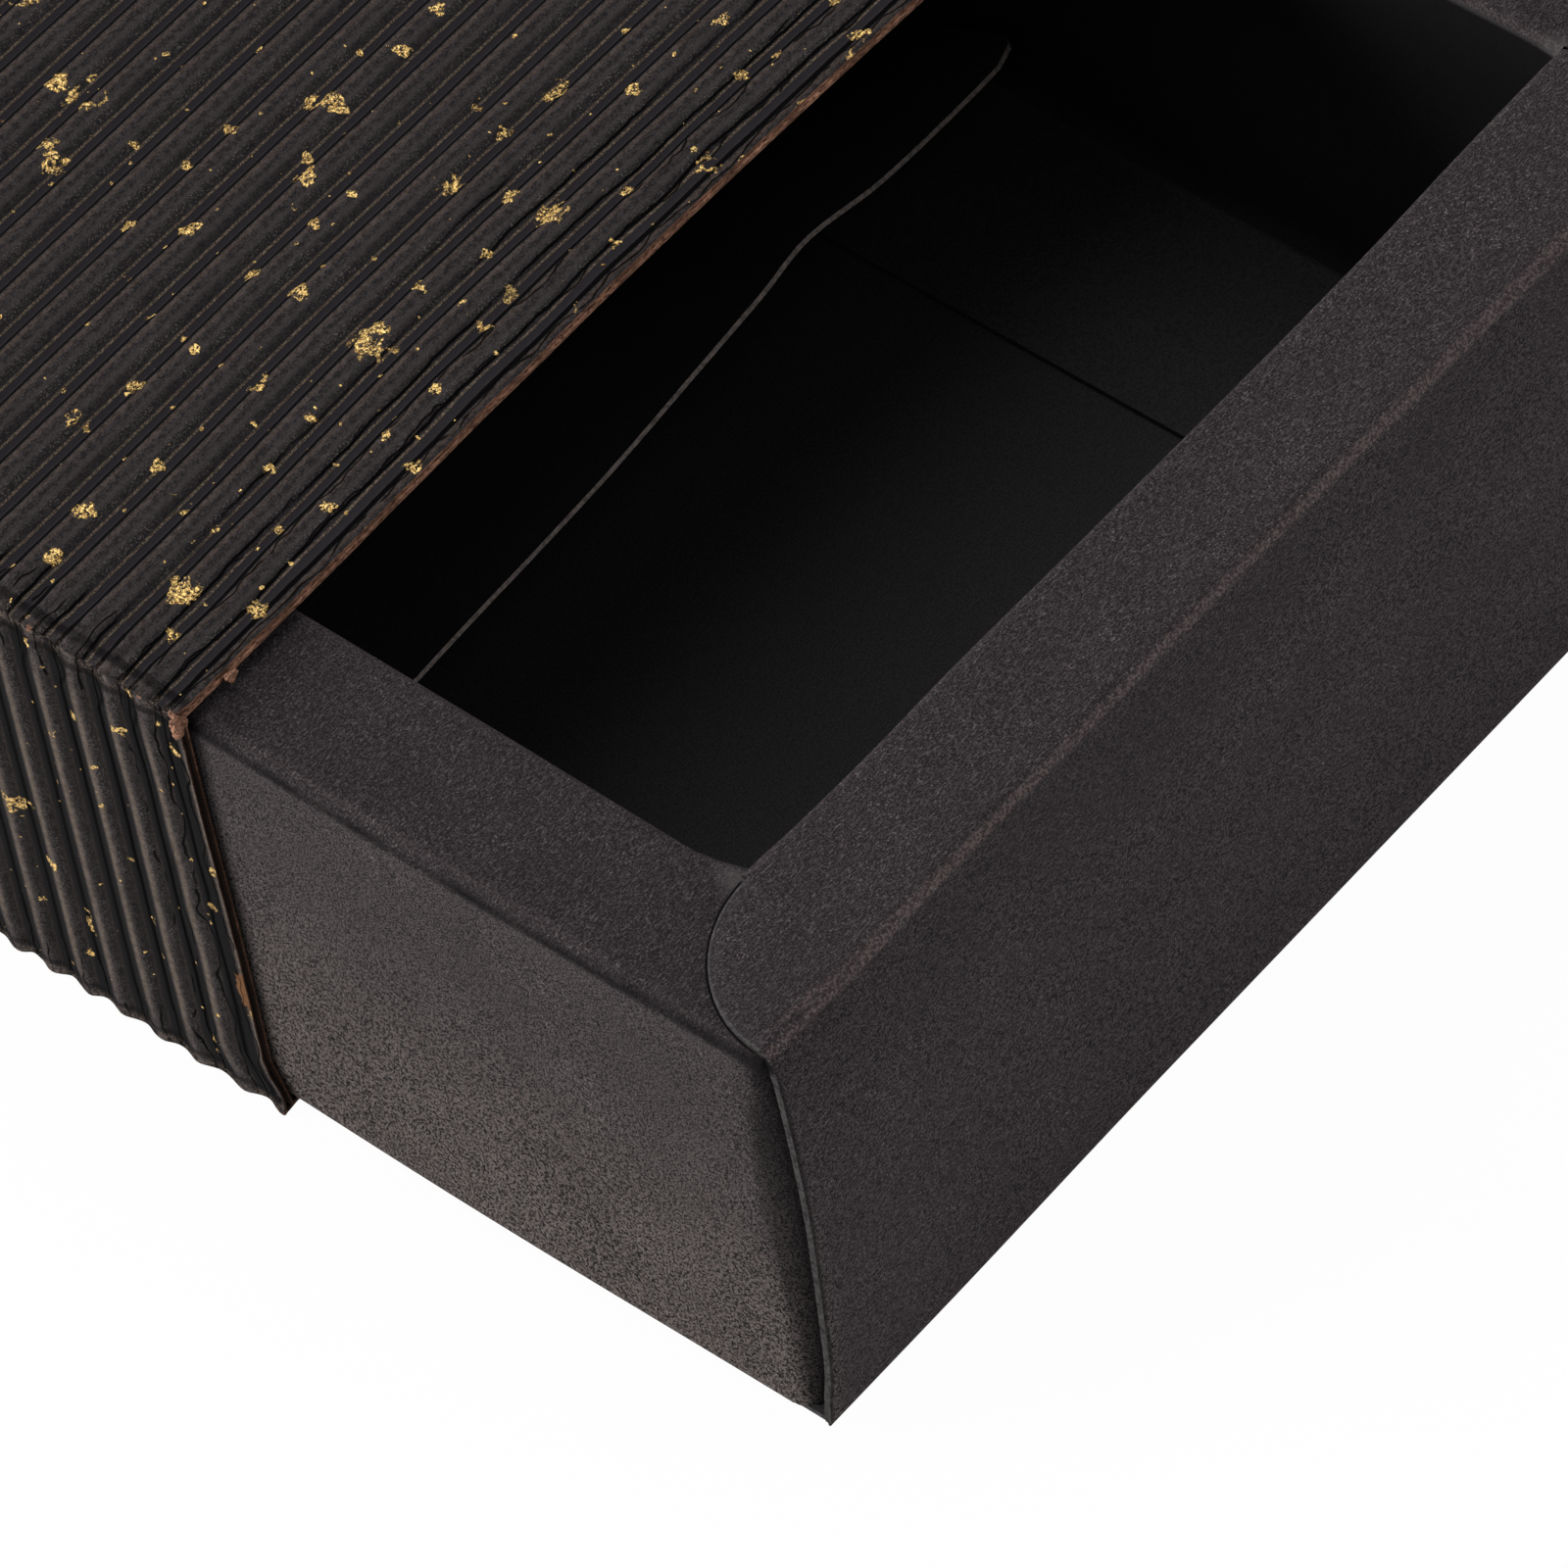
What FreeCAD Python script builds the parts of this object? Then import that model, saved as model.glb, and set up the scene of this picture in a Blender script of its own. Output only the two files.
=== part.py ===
import FreeCAD, Part
import os
import Sketcher

Vector = FreeCAD.Vector
AXIS_X = Vector(1, 0, 0)
AXIS_Y = Vector(0, 1, 0)
AXIS_Z = Vector(0, 0, 1)

doc = FreeCAD.newDocument("drawer_gift_box")

# ---------------------------------------------------------------- driving sizes
# Millimetres and degrees. The frame: origin under the middle of the sleeve, on the table;
# +X to the right, +Z up; the drawer pulls out along -Y.
driving_sizes = [
    ("tray_width", 109.5, "drawer, across the front panel"),
    ("tray_length", 90.0, "drawer, front panel to back panel"),
    ("tray_height", 40.0, "drawer, underside to the top of the front rim"),
    ("rim_width", 11.3, "flat top of each hollow wall"),
    ("card", 0.5, "thickness of the drawer's card"),
    ("end_overhang", 0.1, "front and back panels stand past the side panels"),
    ("side_flap_depth", 18.0, "floor flaps at the foot of the side inner walls"),
    ("end_flap_depth", 21.0, "floor flaps at the foot of the front and back inner walls"),
    ("flap_taper", 1.5, "each end of a floor flap slants in by this"),
    ("flap_corner", 3.0, "rounding of a floor flap's free corners"),
    ("flap_end_gap", 0.5, "from a floor flap's end to the wall beside it"),
    ("back_flap_raise", 27.0, "angle at which the back floor flap stands up"),
    ("tab_depth", 24.0, "corner tabs folded behind the front and back panels"),
    ("tab_taper", 2.0, "each end of a corner tab slants in by this"),
    ("tab_corner", 3.0, "rounding of a corner tab's free corners"),
    ("sleeve_length", 90.0, "sleeve, mouth to mouth"),
    ("drawer_out", 49.0, "how far the drawer stands out of the sleeve"),
    ("side_gap", 0.3, "running gap beside the drawer"),
    ("under_gap", 0.1, "running gap under the drawer"),
    ("over_gap", 0.4, "running gap over the drawer"),
    ("liner", 0.3, "thickness of the sleeve's smooth liner"),
    ("facing", 0.25, "thickness of the fluted facing's paper"),
    ("flute_height", 0.75, "from the liner to the top of a flute"),
    ("flute_pitch", 3.41, "from one flute to the next"),
    ("groove_width", 0.45, "flat bottom of the groove between two flutes"),
    ("crest_flat", 0.6, "flat top of a flute"),
    ("edge_band", 1.0, "least width pressed flat beside each mouth"),
    ("glue_flap_depth", 14.0, "lap that closes the sleeve, inside the bottom"),
]

sheet = doc.addObject("Spreadsheet::Sheet", "sizes")
for row, (alias, value, note) in enumerate(driving_sizes, start=1):
    sheet.set("A%d" % row, note)
    sheet.set("B%d" % row, str(value))
    sheet.setAlias("B%d" % row, alias)
doc.recompute()

# ---------------------------------------------------------------- shared places
# Expressions over the sheet, each in brackets so that it can be used inside another one.
drawer_front = "(-sizes.sleeve_length / 2 - sizes.drawer_out)"
drawer_back = f"({drawer_front} + sizes.tray_length)"
panel_right = "(sizes.tray_width / 2)"
side_right = f"({panel_right} - sizes.end_overhang)"
inner_right = f"({panel_right} - sizes.rim_width)"
inner_front = f"({drawer_front} + sizes.rim_width)"
inner_back = f"({drawer_back} - sizes.rim_width)"

# Stack under the drawer: flutes, liner, glue lap (the same paper as the liner), running gap.
drawer_bottom = "(sizes.flute_height + 2 * sizes.liner + sizes.under_gap)"
drawer_top = f"({drawer_bottom} + sizes.tray_height)"

# The sleeve's inside, and its liner's outside.
sleeve_floor = "(sizes.flute_height + sizes.liner)"
sleeve_ceiling = f"({drawer_top} + sizes.over_gap)"
sleeve_inside_height = f"({sleeve_ceiling} - {sleeve_floor})"
sleeve_inside_right = f"({panel_right} + sizes.side_gap)"
liner_outside_width = f"(2 * {sleeve_inside_right} + 2 * sizes.liner)"
liner_outside_height = f"({sleeve_inside_height} + 2 * sizes.liner)"
sleeve_middle_height = f"({liner_outside_height} / 2 + sizes.flute_height)"

# An odd number of flutes, so that the middle one stands under the origin.
flute_count = ("(2 * floor((sizes.sleeve_length - 2 * sizes.edge_band - sizes.flute_pitch)"
               " / (2 * sizes.flute_pitch)) + 1)")
flutes_length = f"({flute_count} * sizes.flute_pitch)"

sub_parts = []


# ---------------------------------------------------------------- shared ways of making
def place(feature, origin, across, along):
    """Put a sub-part at an origin given by three expressions, its own X axis turned to
    across and its own Y axis to along."""
    turn = FreeCAD.Rotation(across, along, across.cross(along), "XYZ")
    feature.Placement = FreeCAD.Placement(Vector(), turn)
    for axis, expression in zip("xyz", origin):
        feature.setExpression("Placement.Base." + axis, expression)


def plate(label, size, corner):
    """A flat rectangular panel: its size along X, Y, Z and its lowest corner."""
    panel = doc.addObject("Part::Box", label)
    panel.Label = label
    for side, expression in zip(("Length", "Width", "Height"), size):
        panel.setExpression(side, expression)
    place(panel, corner, AXIS_X, AXIS_Y)
    sub_parts.append(panel)


def new_body(label):
    body = doc.addObject("PartDesign::Body", label)
    body.Label = label
    sub_parts.append(body)
    return body


def new_sketch(body, name, plane):
    sketch = body.newObject("Sketcher::SketchObject", name)
    role = [item for item in body.Origin.OriginFeatures if item.Role == plane]
    sketch.AttachmentSupport = [(role[0], "")]
    sketch.MapMode = "FlatFace"
    return sketch


def draw_loop(sketch, points):
    """Straight sides from point to point and back to the first, joined end to end."""
    first = sketch.GeometryCount
    count = len(points)
    for index in range(count):
        start = Vector(*points[index], 0)
        end = Vector(*points[(index + 1) % count], 0)
        sketch.addGeometry(Part.LineSegment(start, end), False)
    for index in range(count):
        follower = first + (index + 1) % count
        sketch.addConstraint(Sketcher.Constraint("Coincident", first + index, 2, follower, 1))
    return first


def name_size(sketch, name, expression, *constraint):
    """A dimension of the sketch that takes its value from the sheet."""
    index = sketch.addConstraint(Sketcher.Constraint(*constraint))
    sketch.renameConstraint(index, name)
    sketch.setExpression("Constraints." + name, expression)


def pad_up(body, sketch, name, height):
    pad = body.newObject("PartDesign::Pad", name)
    pad.Profile = sketch
    pad.setExpression("Length", height)
    sketch.Visibility = False
    return pad


# In a sketch, line -1 is its X axis, whose point 1 is the sketch's origin, and -2 its Y axis.
def creased_flap(label, root, depth, taper, corner, origin, across, along):
    """A flap hanging from a crease: root along its own X, reaching out along its own Y, with
    slanted ends and rounded free corners. The origin is the middle of the crease, underneath."""
    body = new_body(label)
    sketch = new_sketch(body, label + "_outline", "XY_Plane")
    bottom = draw_loop(sketch, [(-30, 0), (30, 0), (28, 20), (-28, 20)])
    right, free, left = bottom + 1, bottom + 2, bottom + 3
    sketch.addConstraint(Sketcher.Constraint("Symmetric", bottom, 1, bottom, 2, -1, 1))
    sketch.addConstraint(Sketcher.Constraint("PointOnObject", bottom, 1, -1))
    sketch.addConstraint(Sketcher.Constraint("Symmetric", free, 1, free, 2, -2))
    name_size(sketch, "root", root, "DistanceX", bottom, 1, bottom, 2, 60.0)
    name_size(sketch, "depth", depth, "DistanceY", right, 1, right, 2, 20.0)
    name_size(sketch, "taper", taper, "DistanceX", left, 2, left, 1, 2.0)
    pad = pad_up(body, sketch, label + "_card", "sizes.card")
    doc.recompute()
    edges = []
    for number, edge in enumerate(pad.Shape.Edges, start=1):
        ends = [vertex.Point for vertex in edge.Vertexes]
        upright = abs(ends[0].z - ends[-1].z) > 1e-6
        if upright and ends[0].y > 1e-6:
            edges.append("Edge%d" % number)
    rounding = body.newObject("PartDesign::Fillet", label + "_corners")
    rounding.Base = (pad, edges)
    rounding.setExpression("Radius", corner)
    pad.Visibility = False
    body.Tip = rounding
    place(body, origin, across, along)


# ---------------------------------------------------------------- the drawer
def drawer_base():
    plate("tray_base",
          (f"2 * ({side_right} - sizes.card)", "sizes.tray_length - 2 * sizes.card", "sizes.card"),
          (f"-({side_right} - sizes.card)", f"{drawer_front} + sizes.card", drawer_bottom))


def outer_walls():
    """Front and back panels cover the ends of the side panels, whose tops are one card lower."""
    size = ("sizes.tray_width", "sizes.card", "sizes.tray_height - sizes.card")
    plate("front_outer_wall", size, (f"-{panel_right}", drawer_front, drawer_bottom))
    plate("back_outer_wall", size, (f"-{panel_right}", f"{drawer_back} - sizes.card", drawer_bottom))
    size = ("sizes.card", "sizes.tray_length - 2 * sizes.card", "sizes.tray_height - 2 * sizes.card")
    wall_front = f"{drawer_front} + sizes.card"
    plate("left_outer_wall", size, (f"-{side_right}", wall_front, drawer_bottom))
    plate("right_outer_wall", size, (f"{side_right} - sizes.card", wall_front, drawer_bottom))


def corner_tabs():
    """Each side panel turns round its two corners into a tab behind the front or back panel."""
    middle = f"{drawer_bottom} + sizes.card + (sizes.tray_height - 3 * sizes.card) / 2"
    root = "sizes.tray_height - 3 * sizes.card"
    fold_x = f"({side_right} - sizes.card)"
    ends = [("front", f"{drawer_front} + sizes.card"), ("back", f"{drawer_back} - 2 * sizes.card")]
    sides = [("left", f"-{fold_x}", AXIS_Z, AXIS_X), ("right", fold_x, -AXIS_Z, -AXIS_X)]
    for end, end_y in ends:
        for side, side_x, across, along in sides:
            creased_flap(f"{end}_{side}_corner_tab", root, "sizes.tab_depth", "sizes.tab_taper",
                         "sizes.tab_corner", (side_x, end_y, middle), across, along)


def side_rims():
    size = (f"{side_right} - {inner_right}", "sizes.tray_length - 2 * sizes.card", "sizes.card")
    rim_bottom = f"{drawer_top} - 2 * sizes.card"
    rim_front = f"{drawer_front} + sizes.card"
    plate("left_rim", size, (f"-{side_right}", rim_front, rim_bottom))
    plate("right_rim", size, (inner_right, rim_front, rim_bottom))


def end_rim(label, edge_y, across, along):
    """The front and back rims end in quarter-round ears that lie over the side rims. The ear's
    centre is on the outer fold, and its radius is the rim's width."""
    body = new_body(label)
    sketch = new_sketch(body, label + "_outline", "XY_Plane")
    half, width = 50.0, 11.0
    corner_right = Vector(half - width, width, 0)
    corner_left = Vector(width - half, width, 0)
    bend = 0.5 ** 0.5 * width
    ear_right = Part.Arc(Vector(half, 0, 0), Vector(half - width + bend, bend, 0), corner_right)
    ear_left = Part.Arc(corner_left, Vector(width - half - bend, bend, 0), Vector(-half, 0, 0))
    fold = sketch.addGeometry(Part.LineSegment(Vector(-half, 0, 0), Vector(half, 0, 0)), False)
    right = sketch.addGeometry(ear_right, False)
    inner = sketch.addGeometry(Part.LineSegment(corner_right, corner_left), False)
    left = sketch.addGeometry(ear_left, False)
    for ear, ear_end in ((right, 2), (left, 1)):
        inner_end = 1 if ear == right else 2
        sketch.addConstraint(Sketcher.Constraint("Tangent", ear, ear_end, inner, inner_end))
        sketch.addConstraint(Sketcher.Constraint("PointOnObject", ear, 3, -1))
    sketch.addConstraint(Sketcher.Constraint("Coincident", fold, 2, right, 1))
    sketch.addConstraint(Sketcher.Constraint("Coincident", fold, 1, left, 2))
    sketch.addConstraint(Sketcher.Constraint("Horizontal", fold))
    sketch.addConstraint(Sketcher.Constraint("Symmetric", fold, 1, fold, 2, -1, 1))
    name_size(sketch, "fold", "sizes.tray_width", "DistanceX", fold, 1, fold, 2, 2 * half)
    name_size(sketch, "rim", "sizes.rim_width", "Radius", right, width)
    name_size(sketch, "other_rim", "sizes.rim_width", "Radius", left, width)
    body.Tip = pad_up(body, sketch, label + "_card", "sizes.card")
    place(body, ("0", edge_y, f"{drawer_top} - sizes.card"), across, along)


def inner_walls():
    """They hang from the rims' inner edges. The side walls reach the base, the front and back
    ones stop a card higher, on the side floor flaps."""
    height = "sizes.tray_height - 3 * sizes.card"
    size = ("sizes.card", f"{inner_back} - {inner_front} + 2 * sizes.card", height)
    foot = f"{drawer_bottom} + sizes.card"
    wall_front = f"{inner_front} - sizes.card"
    plate("left_inner_wall", size, (f"-{inner_right} - sizes.card", wall_front, foot))
    plate("right_inner_wall", size, (inner_right, wall_front, foot))
    size = (f"2 * {inner_right}", "sizes.card", height)
    foot = f"{drawer_bottom} + 2 * sizes.card"
    plate("front_inner_wall", size, (f"-{inner_right}", wall_front, foot))
    plate("back_inner_wall", size, (f"-{inner_right}", inner_back, foot))


def floor_flaps():
    """Side flaps lie on the base and the end flaps over them. The back one springs up, turned
    about the upper edge of its own crease."""
    root = f"{inner_back} - {inner_front} - 2 * sizes.flap_end_gap"
    middle = f"({inner_front} + {inner_back}) / 2"
    height = f"{drawer_bottom} + sizes.card"
    shape = ("sizes.side_flap_depth", "sizes.flap_taper", "sizes.flap_corner")
    creased_flap("left_floor_flap", root, *shape, (f"-{inner_right}", middle, height),
                 -AXIS_Y, AXIS_X)
    creased_flap("right_floor_flap", root, *shape, (inner_right, middle, height),
                 AXIS_Y, -AXIS_X)
    root = f"2 * ({inner_right} - sizes.flap_end_gap)"
    shape = ("sizes.end_flap_depth", "sizes.flap_taper", "sizes.flap_corner")
    creased_flap("front_floor_flap", root, *shape,
                 ("0", inner_front, f"{drawer_bottom} + 2 * sizes.card"), AXIS_X, AXIS_Y)
    raised = FreeCAD.Rotation(AXIS_X, -sheet.get("back_flap_raise"))
    crease_y = f"{inner_back} - sizes.card * sin(sizes.back_flap_raise)"
    crease_z = f"{drawer_bottom} + 3 * sizes.card - sizes.card * cos(sizes.back_flap_raise)"
    creased_flap("back_floor_flap", root, *shape, ("0", crease_y, crease_z),
                 -AXIS_X, raised.multVec(-AXIS_Y))


# ---------------------------------------------------------------- the sleeve
def sleeve_liner():
    """Top and bottom liners lie over the edges of the side liners."""
    length = "sizes.sleeve_length"
    mouth = "-sizes.sleeve_length / 2"
    size = (liner_outside_width, length, "sizes.liner")
    plate("top_liner", size, (f"-{liner_outside_width} / 2", mouth, sleeve_ceiling))
    plate("bottom_liner", size, (f"-{liner_outside_width} / 2", mouth, "sizes.flute_height"))
    size = ("sizes.liner", length, sleeve_inside_height)
    plate("left_liner", size, (f"-{sleeve_inside_right} - sizes.liner", mouth, sleeve_floor))
    plate("right_liner", size, (sleeve_inside_right, mouth, sleeve_floor))


def glue_lap():
    """The lap that closes the tube, glued on the inside of the bottom along its left edge."""
    plate("sleeve_glue_flap", ("sizes.glue_flap_depth", "sizes.sleeve_length", "sizes.liner"),
          (f"-{sleeve_inside_right}", "-sizes.sleeve_length / 2", sleeve_floor))


def draw_flute(sketch):
    """One flute of the facing, in section: a rounded arch of thin paper between two half
    grooves, open underneath, where the liner closes it."""
    half, groove, crest, high, thick = 1.7, 0.22, 0.3, 0.75, 0.25
    shoulder = half - groove
    drop = high - thick
    run = shoulder - crest
    radius = (run * run + drop * drop) / (2 * drop)
    centre = high - radius
    foot = crest + ((radius - thick) ** 2 - centre ** 2) ** 0.5
    lean = (run / radius) / 2
    rise = (1 - lean ** 2) ** 0.5

    def arch(side, size, end_x, end_y):
        """From the crest flat down to a shoulder or foot on one side."""
        top = Vector(side * crest, centre + size, 0)
        middle = Vector(side * (crest + size * lean), centre + size * rise, 0)
        return Part.Arc(top, middle, Vector(side * end_x, end_y, 0))

    outer_crest = sketch.addGeometry(
        Part.LineSegment(Vector(-crest, high, 0), Vector(crest, high, 0)), False)
    inner_crest = sketch.addGeometry(
        Part.LineSegment(Vector(-crest, high - thick, 0), Vector(crest, high - thick, 0)), False)
    name_size(sketch, "crest", "sizes.crest_flat", "DistanceX", outer_crest, 1, outer_crest, 2, 2 * crest)
    name_size(sketch, "height", "sizes.flute_height", "DistanceY", -1, 1, outer_crest, 1, high)
    name_size(sketch, "paper", "sizes.facing", "DistanceY", inner_crest, 1, outer_crest, 1, thick)
    sketch.addConstraint(Sketcher.Constraint("Symmetric", outer_crest, 1, outer_crest, 2, -2))
    sketch.addConstraint(Sketcher.Constraint("Symmetric", inner_crest, 1, inner_crest, 2, -2))
    sketch.addConstraint(Sketcher.Constraint("Equal", outer_crest, inner_crest))

    for side, tag, crest_end in ((-1, "left", 1), (1, "right", 2)):
        outside = sketch.addGeometry(arch(side, radius, shoulder, thick), False)
        inside = sketch.addGeometry(arch(side, radius - thick, foot, 0), False)
        # An arc runs anticlockwise, so its crest end is its start on the left side.
        top_end, low_end = (1, 2) if side < 0 else (2, 1)
        corners = [Vector(side * shoulder, thick, 0), Vector(side * half, thick, 0),
                   Vector(side * half, 0, 0), Vector(side * foot, 0, 0)]
        groove_line, seam_line, foot_line = [
            sketch.addGeometry(Part.LineSegment(corners[index], corners[index + 1]), False)
            for index in range(3)]
        for first, first_end, second, second_end in (
                (outside, low_end, groove_line, 1), (groove_line, 2, seam_line, 1),
                (seam_line, 2, foot_line, 1), (foot_line, 2, inside, low_end),
                (outside, 3, inside, 3)):
            sketch.addConstraint(
                Sketcher.Constraint("Coincident", first, first_end, second, second_end))
        sketch.addConstraint(
            Sketcher.Constraint("Tangent", outside, top_end, outer_crest, crest_end))
        sketch.addConstraint(Sketcher.Constraint("Coincident", inside, top_end, inner_crest, crest_end))
        sketch.addConstraint(Sketcher.Constraint("Horizontal", groove_line))
        sketch.addConstraint(Sketcher.Constraint("Vertical", seam_line))
        sketch.addConstraint(Sketcher.Constraint("PointOnObject", foot_line, 1, -1))
        sketch.addConstraint(Sketcher.Constraint("PointOnObject", foot_line, 2, -1))
        outward = (-1, 1, seam_line, 2) if side > 0 else (seam_line, 2, -1, 1)
        name_size(sketch, tag + "_half_pitch", "sizes.flute_pitch / 2", "DistanceX", *outward, half)
        ends = (groove_line, 1, groove_line, 2) if side > 0 else (groove_line, 2, groove_line, 1)
        name_size(sketch, tag + "_groove", "sizes.groove_width / 2", "DistanceX", *ends, groove)
        name_size(sketch, tag + "_paper", "sizes.facing", "DistanceY", seam_line, 2, seam_line, 1, thick)


def fluted_facing(label, liner_width, origin, across):
    """A facing panel on one side of the sleeve: flutes along its own X, repeated along Y, a
    pressed-flat band at each mouth, and ends mitred at the corners of the sleeve. Its own
    origin is on the liner, in the middle of the first flute."""
    body = new_body(label)
    reach = f"{liner_width} + 2 * sizes.flute_height"

    section = new_sketch(body, label + "_flute_section", "YZ_Plane")
    draw_flute(section)
    flute = pad_up(body, section, label + "_flute", reach)
    flute.SideType = "Symmetric"
    doc.recompute()

    row_of_flutes = body.newObject("PartDesign::LinearPattern", label + "_flutes")
    row_of_flutes.Originals = [flute]
    row_of_flutes.Direction = (section, ["H_Axis"])
    row_of_flutes.setExpression("Length", f"({flute_count} - 1) * sizes.flute_pitch")
    row_of_flutes.setExpression("Occurrences", flute_count)
    flute.Visibility = False
    body.Tip = row_of_flutes

    bands = new_sketch(body, label + "_bands_outline", "XY_Plane")
    band = f"(sizes.sleeve_length - {flutes_length}) / 2"
    starts = (("front", f"-sizes.flute_pitch / 2 - {band}", -5.0),
              ("back", f"{flutes_length} - sizes.flute_pitch / 2", 80.0))
    for tag, start, guess in starts:
        low = draw_loop(bands, [(-50, guess), (50, guess), (50, guess + 2), (-50, guess + 2)])
        bands.addConstraint(Sketcher.Constraint("Symmetric", low, 1, low, 2, -2))
        bands.addConstraint(Sketcher.Constraint("Symmetric", low + 2, 1, low + 2, 2, -2))
        bands.addConstraint(Sketcher.Constraint("Vertical", low + 1))
        name_size(bands, tag + "_width", reach, "DistanceX", low, 1, low, 2, 100.0)
        name_size(bands, tag + "_band", band, "DistanceY", low + 1, 1, low + 1, 2, 2.0)
        name_size(bands, tag + "_start", start, "DistanceY", -1, 1, low, 1, guess)
    flat_bands = pad_up(body, bands, label + "_bands", "sizes.facing")
    doc.recompute()

    mitres = new_sketch(body, label + "_mitre_section", "XZ_Plane")
    for side, tag in ((-1, "left"), (1, "right")):
        low = draw_loop(mitres, [(side * 50, 0), (side * 51, 1), (side * 51, 0)])
        mitres.addConstraint(Sketcher.Constraint("Vertical", low + 1))
        mitres.addConstraint(Sketcher.Constraint("PointOnObject", low, 1, -1))
        mitres.addConstraint(Sketcher.Constraint("PointOnObject", low + 1, 2, -1))
        inward = (-1, 1, low, 1) if side > 0 else (low, 1, -1, 1)
        name_size(mitres, tag + "_start", f"{liner_width} / 2", "DistanceX", *inward, 50.0)
        leg = (low, 1, low, 2) if side > 0 else (low, 2, low, 1)
        name_size(mitres, tag + "_reach", "sizes.flute_height", "DistanceX", *leg, 1.0)
        name_size(mitres, tag + "_rise", "sizes.flute_height", "DistanceY", low, 1, low, 2, 1.0)
    full = flat_bands.Shape.Volume
    mitre = body.newObject("PartDesign::Pocket", label + "_mitres")
    mitre.Profile = mitres
    mitre.Type = "ThroughAll"
    mitre.SideType = "Symmetric"
    mitres.Visibility = False
    body.Tip = mitre
    place(body, origin, across, AXIS_Y)
    doc.recompute()
    if mitre.Shape.Volume >= full:
        raise RuntimeError(label + ": the mitres cut nothing")


def sleeve_facing():
    first_flute = f"-({flutes_length} - sizes.flute_pitch) / 2"
    side_x = f"({liner_outside_width} / 2)"
    fluted_facing("top_fluted_facing", liner_outside_width,
                  ("0", first_flute, f"{sleeve_ceiling} + sizes.liner"), AXIS_X)
    fluted_facing("bottom_fluted_facing", liner_outside_width,
                  ("0", first_flute, "sizes.flute_height"), -AXIS_X)
    fluted_facing("left_fluted_facing", liner_outside_height,
                  (f"-{side_x}", first_flute, sleeve_middle_height), AXIS_Z)
    fluted_facing("right_fluted_facing", liner_outside_height,
                  (side_x, first_flute, sleeve_middle_height), -AXIS_Z)


# ---------------------------------------------------------------- build and write
drawer_base()
outer_walls()
corner_tabs()
side_rims()
end_rim("front_rim", drawer_front, AXIS_X, AXIS_Y)
end_rim("back_rim", drawer_back, -AXIS_X, -AXIS_Y)
inner_walls()
floor_flaps()
sleeve_liner()
glue_lap()
sleeve_facing()
doc.recompute()

for item in doc.Objects:
    if "Invalid" in item.State or "Error" in item.State:
        raise RuntimeError("%s did not recompute: %s" % (item.Label, item.State))
for part in sub_parts:
    if part.Shape.isNull() or not part.Shape.isValid():
        raise RuntimeError("%s has no valid shape" % part.Label)
    if len(part.Shape.Solids) != 1:
        raise RuntimeError("%s is not one solid" % part.Label)

os.makedirs("parts", exist_ok=True)
for part in sub_parts:
    part.Shape.exportStep("parts/%s.step" % part.Label)
print("wrote", len(sub_parts), "sub-parts")
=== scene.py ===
import math

import bmesh
import bpy
from mathutils import Matrix, Vector, noise


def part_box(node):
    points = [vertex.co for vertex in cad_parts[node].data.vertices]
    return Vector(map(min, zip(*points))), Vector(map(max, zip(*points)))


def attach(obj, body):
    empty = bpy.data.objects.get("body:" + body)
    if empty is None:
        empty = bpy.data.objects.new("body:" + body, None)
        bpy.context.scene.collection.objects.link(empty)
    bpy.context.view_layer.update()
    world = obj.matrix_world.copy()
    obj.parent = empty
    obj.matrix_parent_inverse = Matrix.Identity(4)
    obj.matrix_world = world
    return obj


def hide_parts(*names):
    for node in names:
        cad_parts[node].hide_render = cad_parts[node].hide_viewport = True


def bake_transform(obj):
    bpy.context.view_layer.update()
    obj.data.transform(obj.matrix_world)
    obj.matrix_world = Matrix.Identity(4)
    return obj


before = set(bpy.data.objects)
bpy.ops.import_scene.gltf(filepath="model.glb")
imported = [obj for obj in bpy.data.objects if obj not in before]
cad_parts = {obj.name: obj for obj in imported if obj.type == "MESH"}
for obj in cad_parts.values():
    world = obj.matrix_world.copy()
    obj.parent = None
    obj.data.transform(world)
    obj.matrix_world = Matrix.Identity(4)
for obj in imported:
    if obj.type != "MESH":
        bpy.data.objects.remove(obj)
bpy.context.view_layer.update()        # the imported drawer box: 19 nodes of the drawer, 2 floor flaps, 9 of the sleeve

mm = 0.001
plain = 1 / mm    # a noise's size in mm where its coordinates are plain numbers
touch = 0.01      # mm, how near counts as lying on a line
print("frame loaded,", len(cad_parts), "nodes")


class Feed:  # wraps one socket, so that shader sums read as plain expressions
    def __init__(self, graph, node, out=0):
        self.graph, self.node, self.socket = graph, node, node.outputs[out]

    def out(self, key):
        return Feed(self.graph, self.node, key)

    def work(self, kind, first, second=0.0):
        return self.graph.node("Math", {"operation": kind}, {0: first, 1: second})

    def __add__(self, other):
        return self.work("ADD", self, other)

    def __radd__(self, other):
        return self.work("ADD", other, self)

    def __sub__(self, other):
        return self.work("SUBTRACT", self, other)

    def __rsub__(self, other):
        return self.work("SUBTRACT", other, self)

    def __mul__(self, other):
        return self.work("MULTIPLY", self, other)

    def __rmul__(self, other):
        return self.work("MULTIPLY", other, self)

    def __truediv__(self, other):
        return self.work("DIVIDE", self, other)

    def __pow__(self, other):
        return self.work("POWER", self, other)

    def __abs__(self):
        return self.work("ABSOLUTE", self)

    def fraction(self):
        return self.work("FRACT", self)

    def atMost(self, other):
        return self.work("MINIMUM", self, other)

    def atLeast(self, other):
        return self.work("MAXIMUM", self, other)


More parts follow.
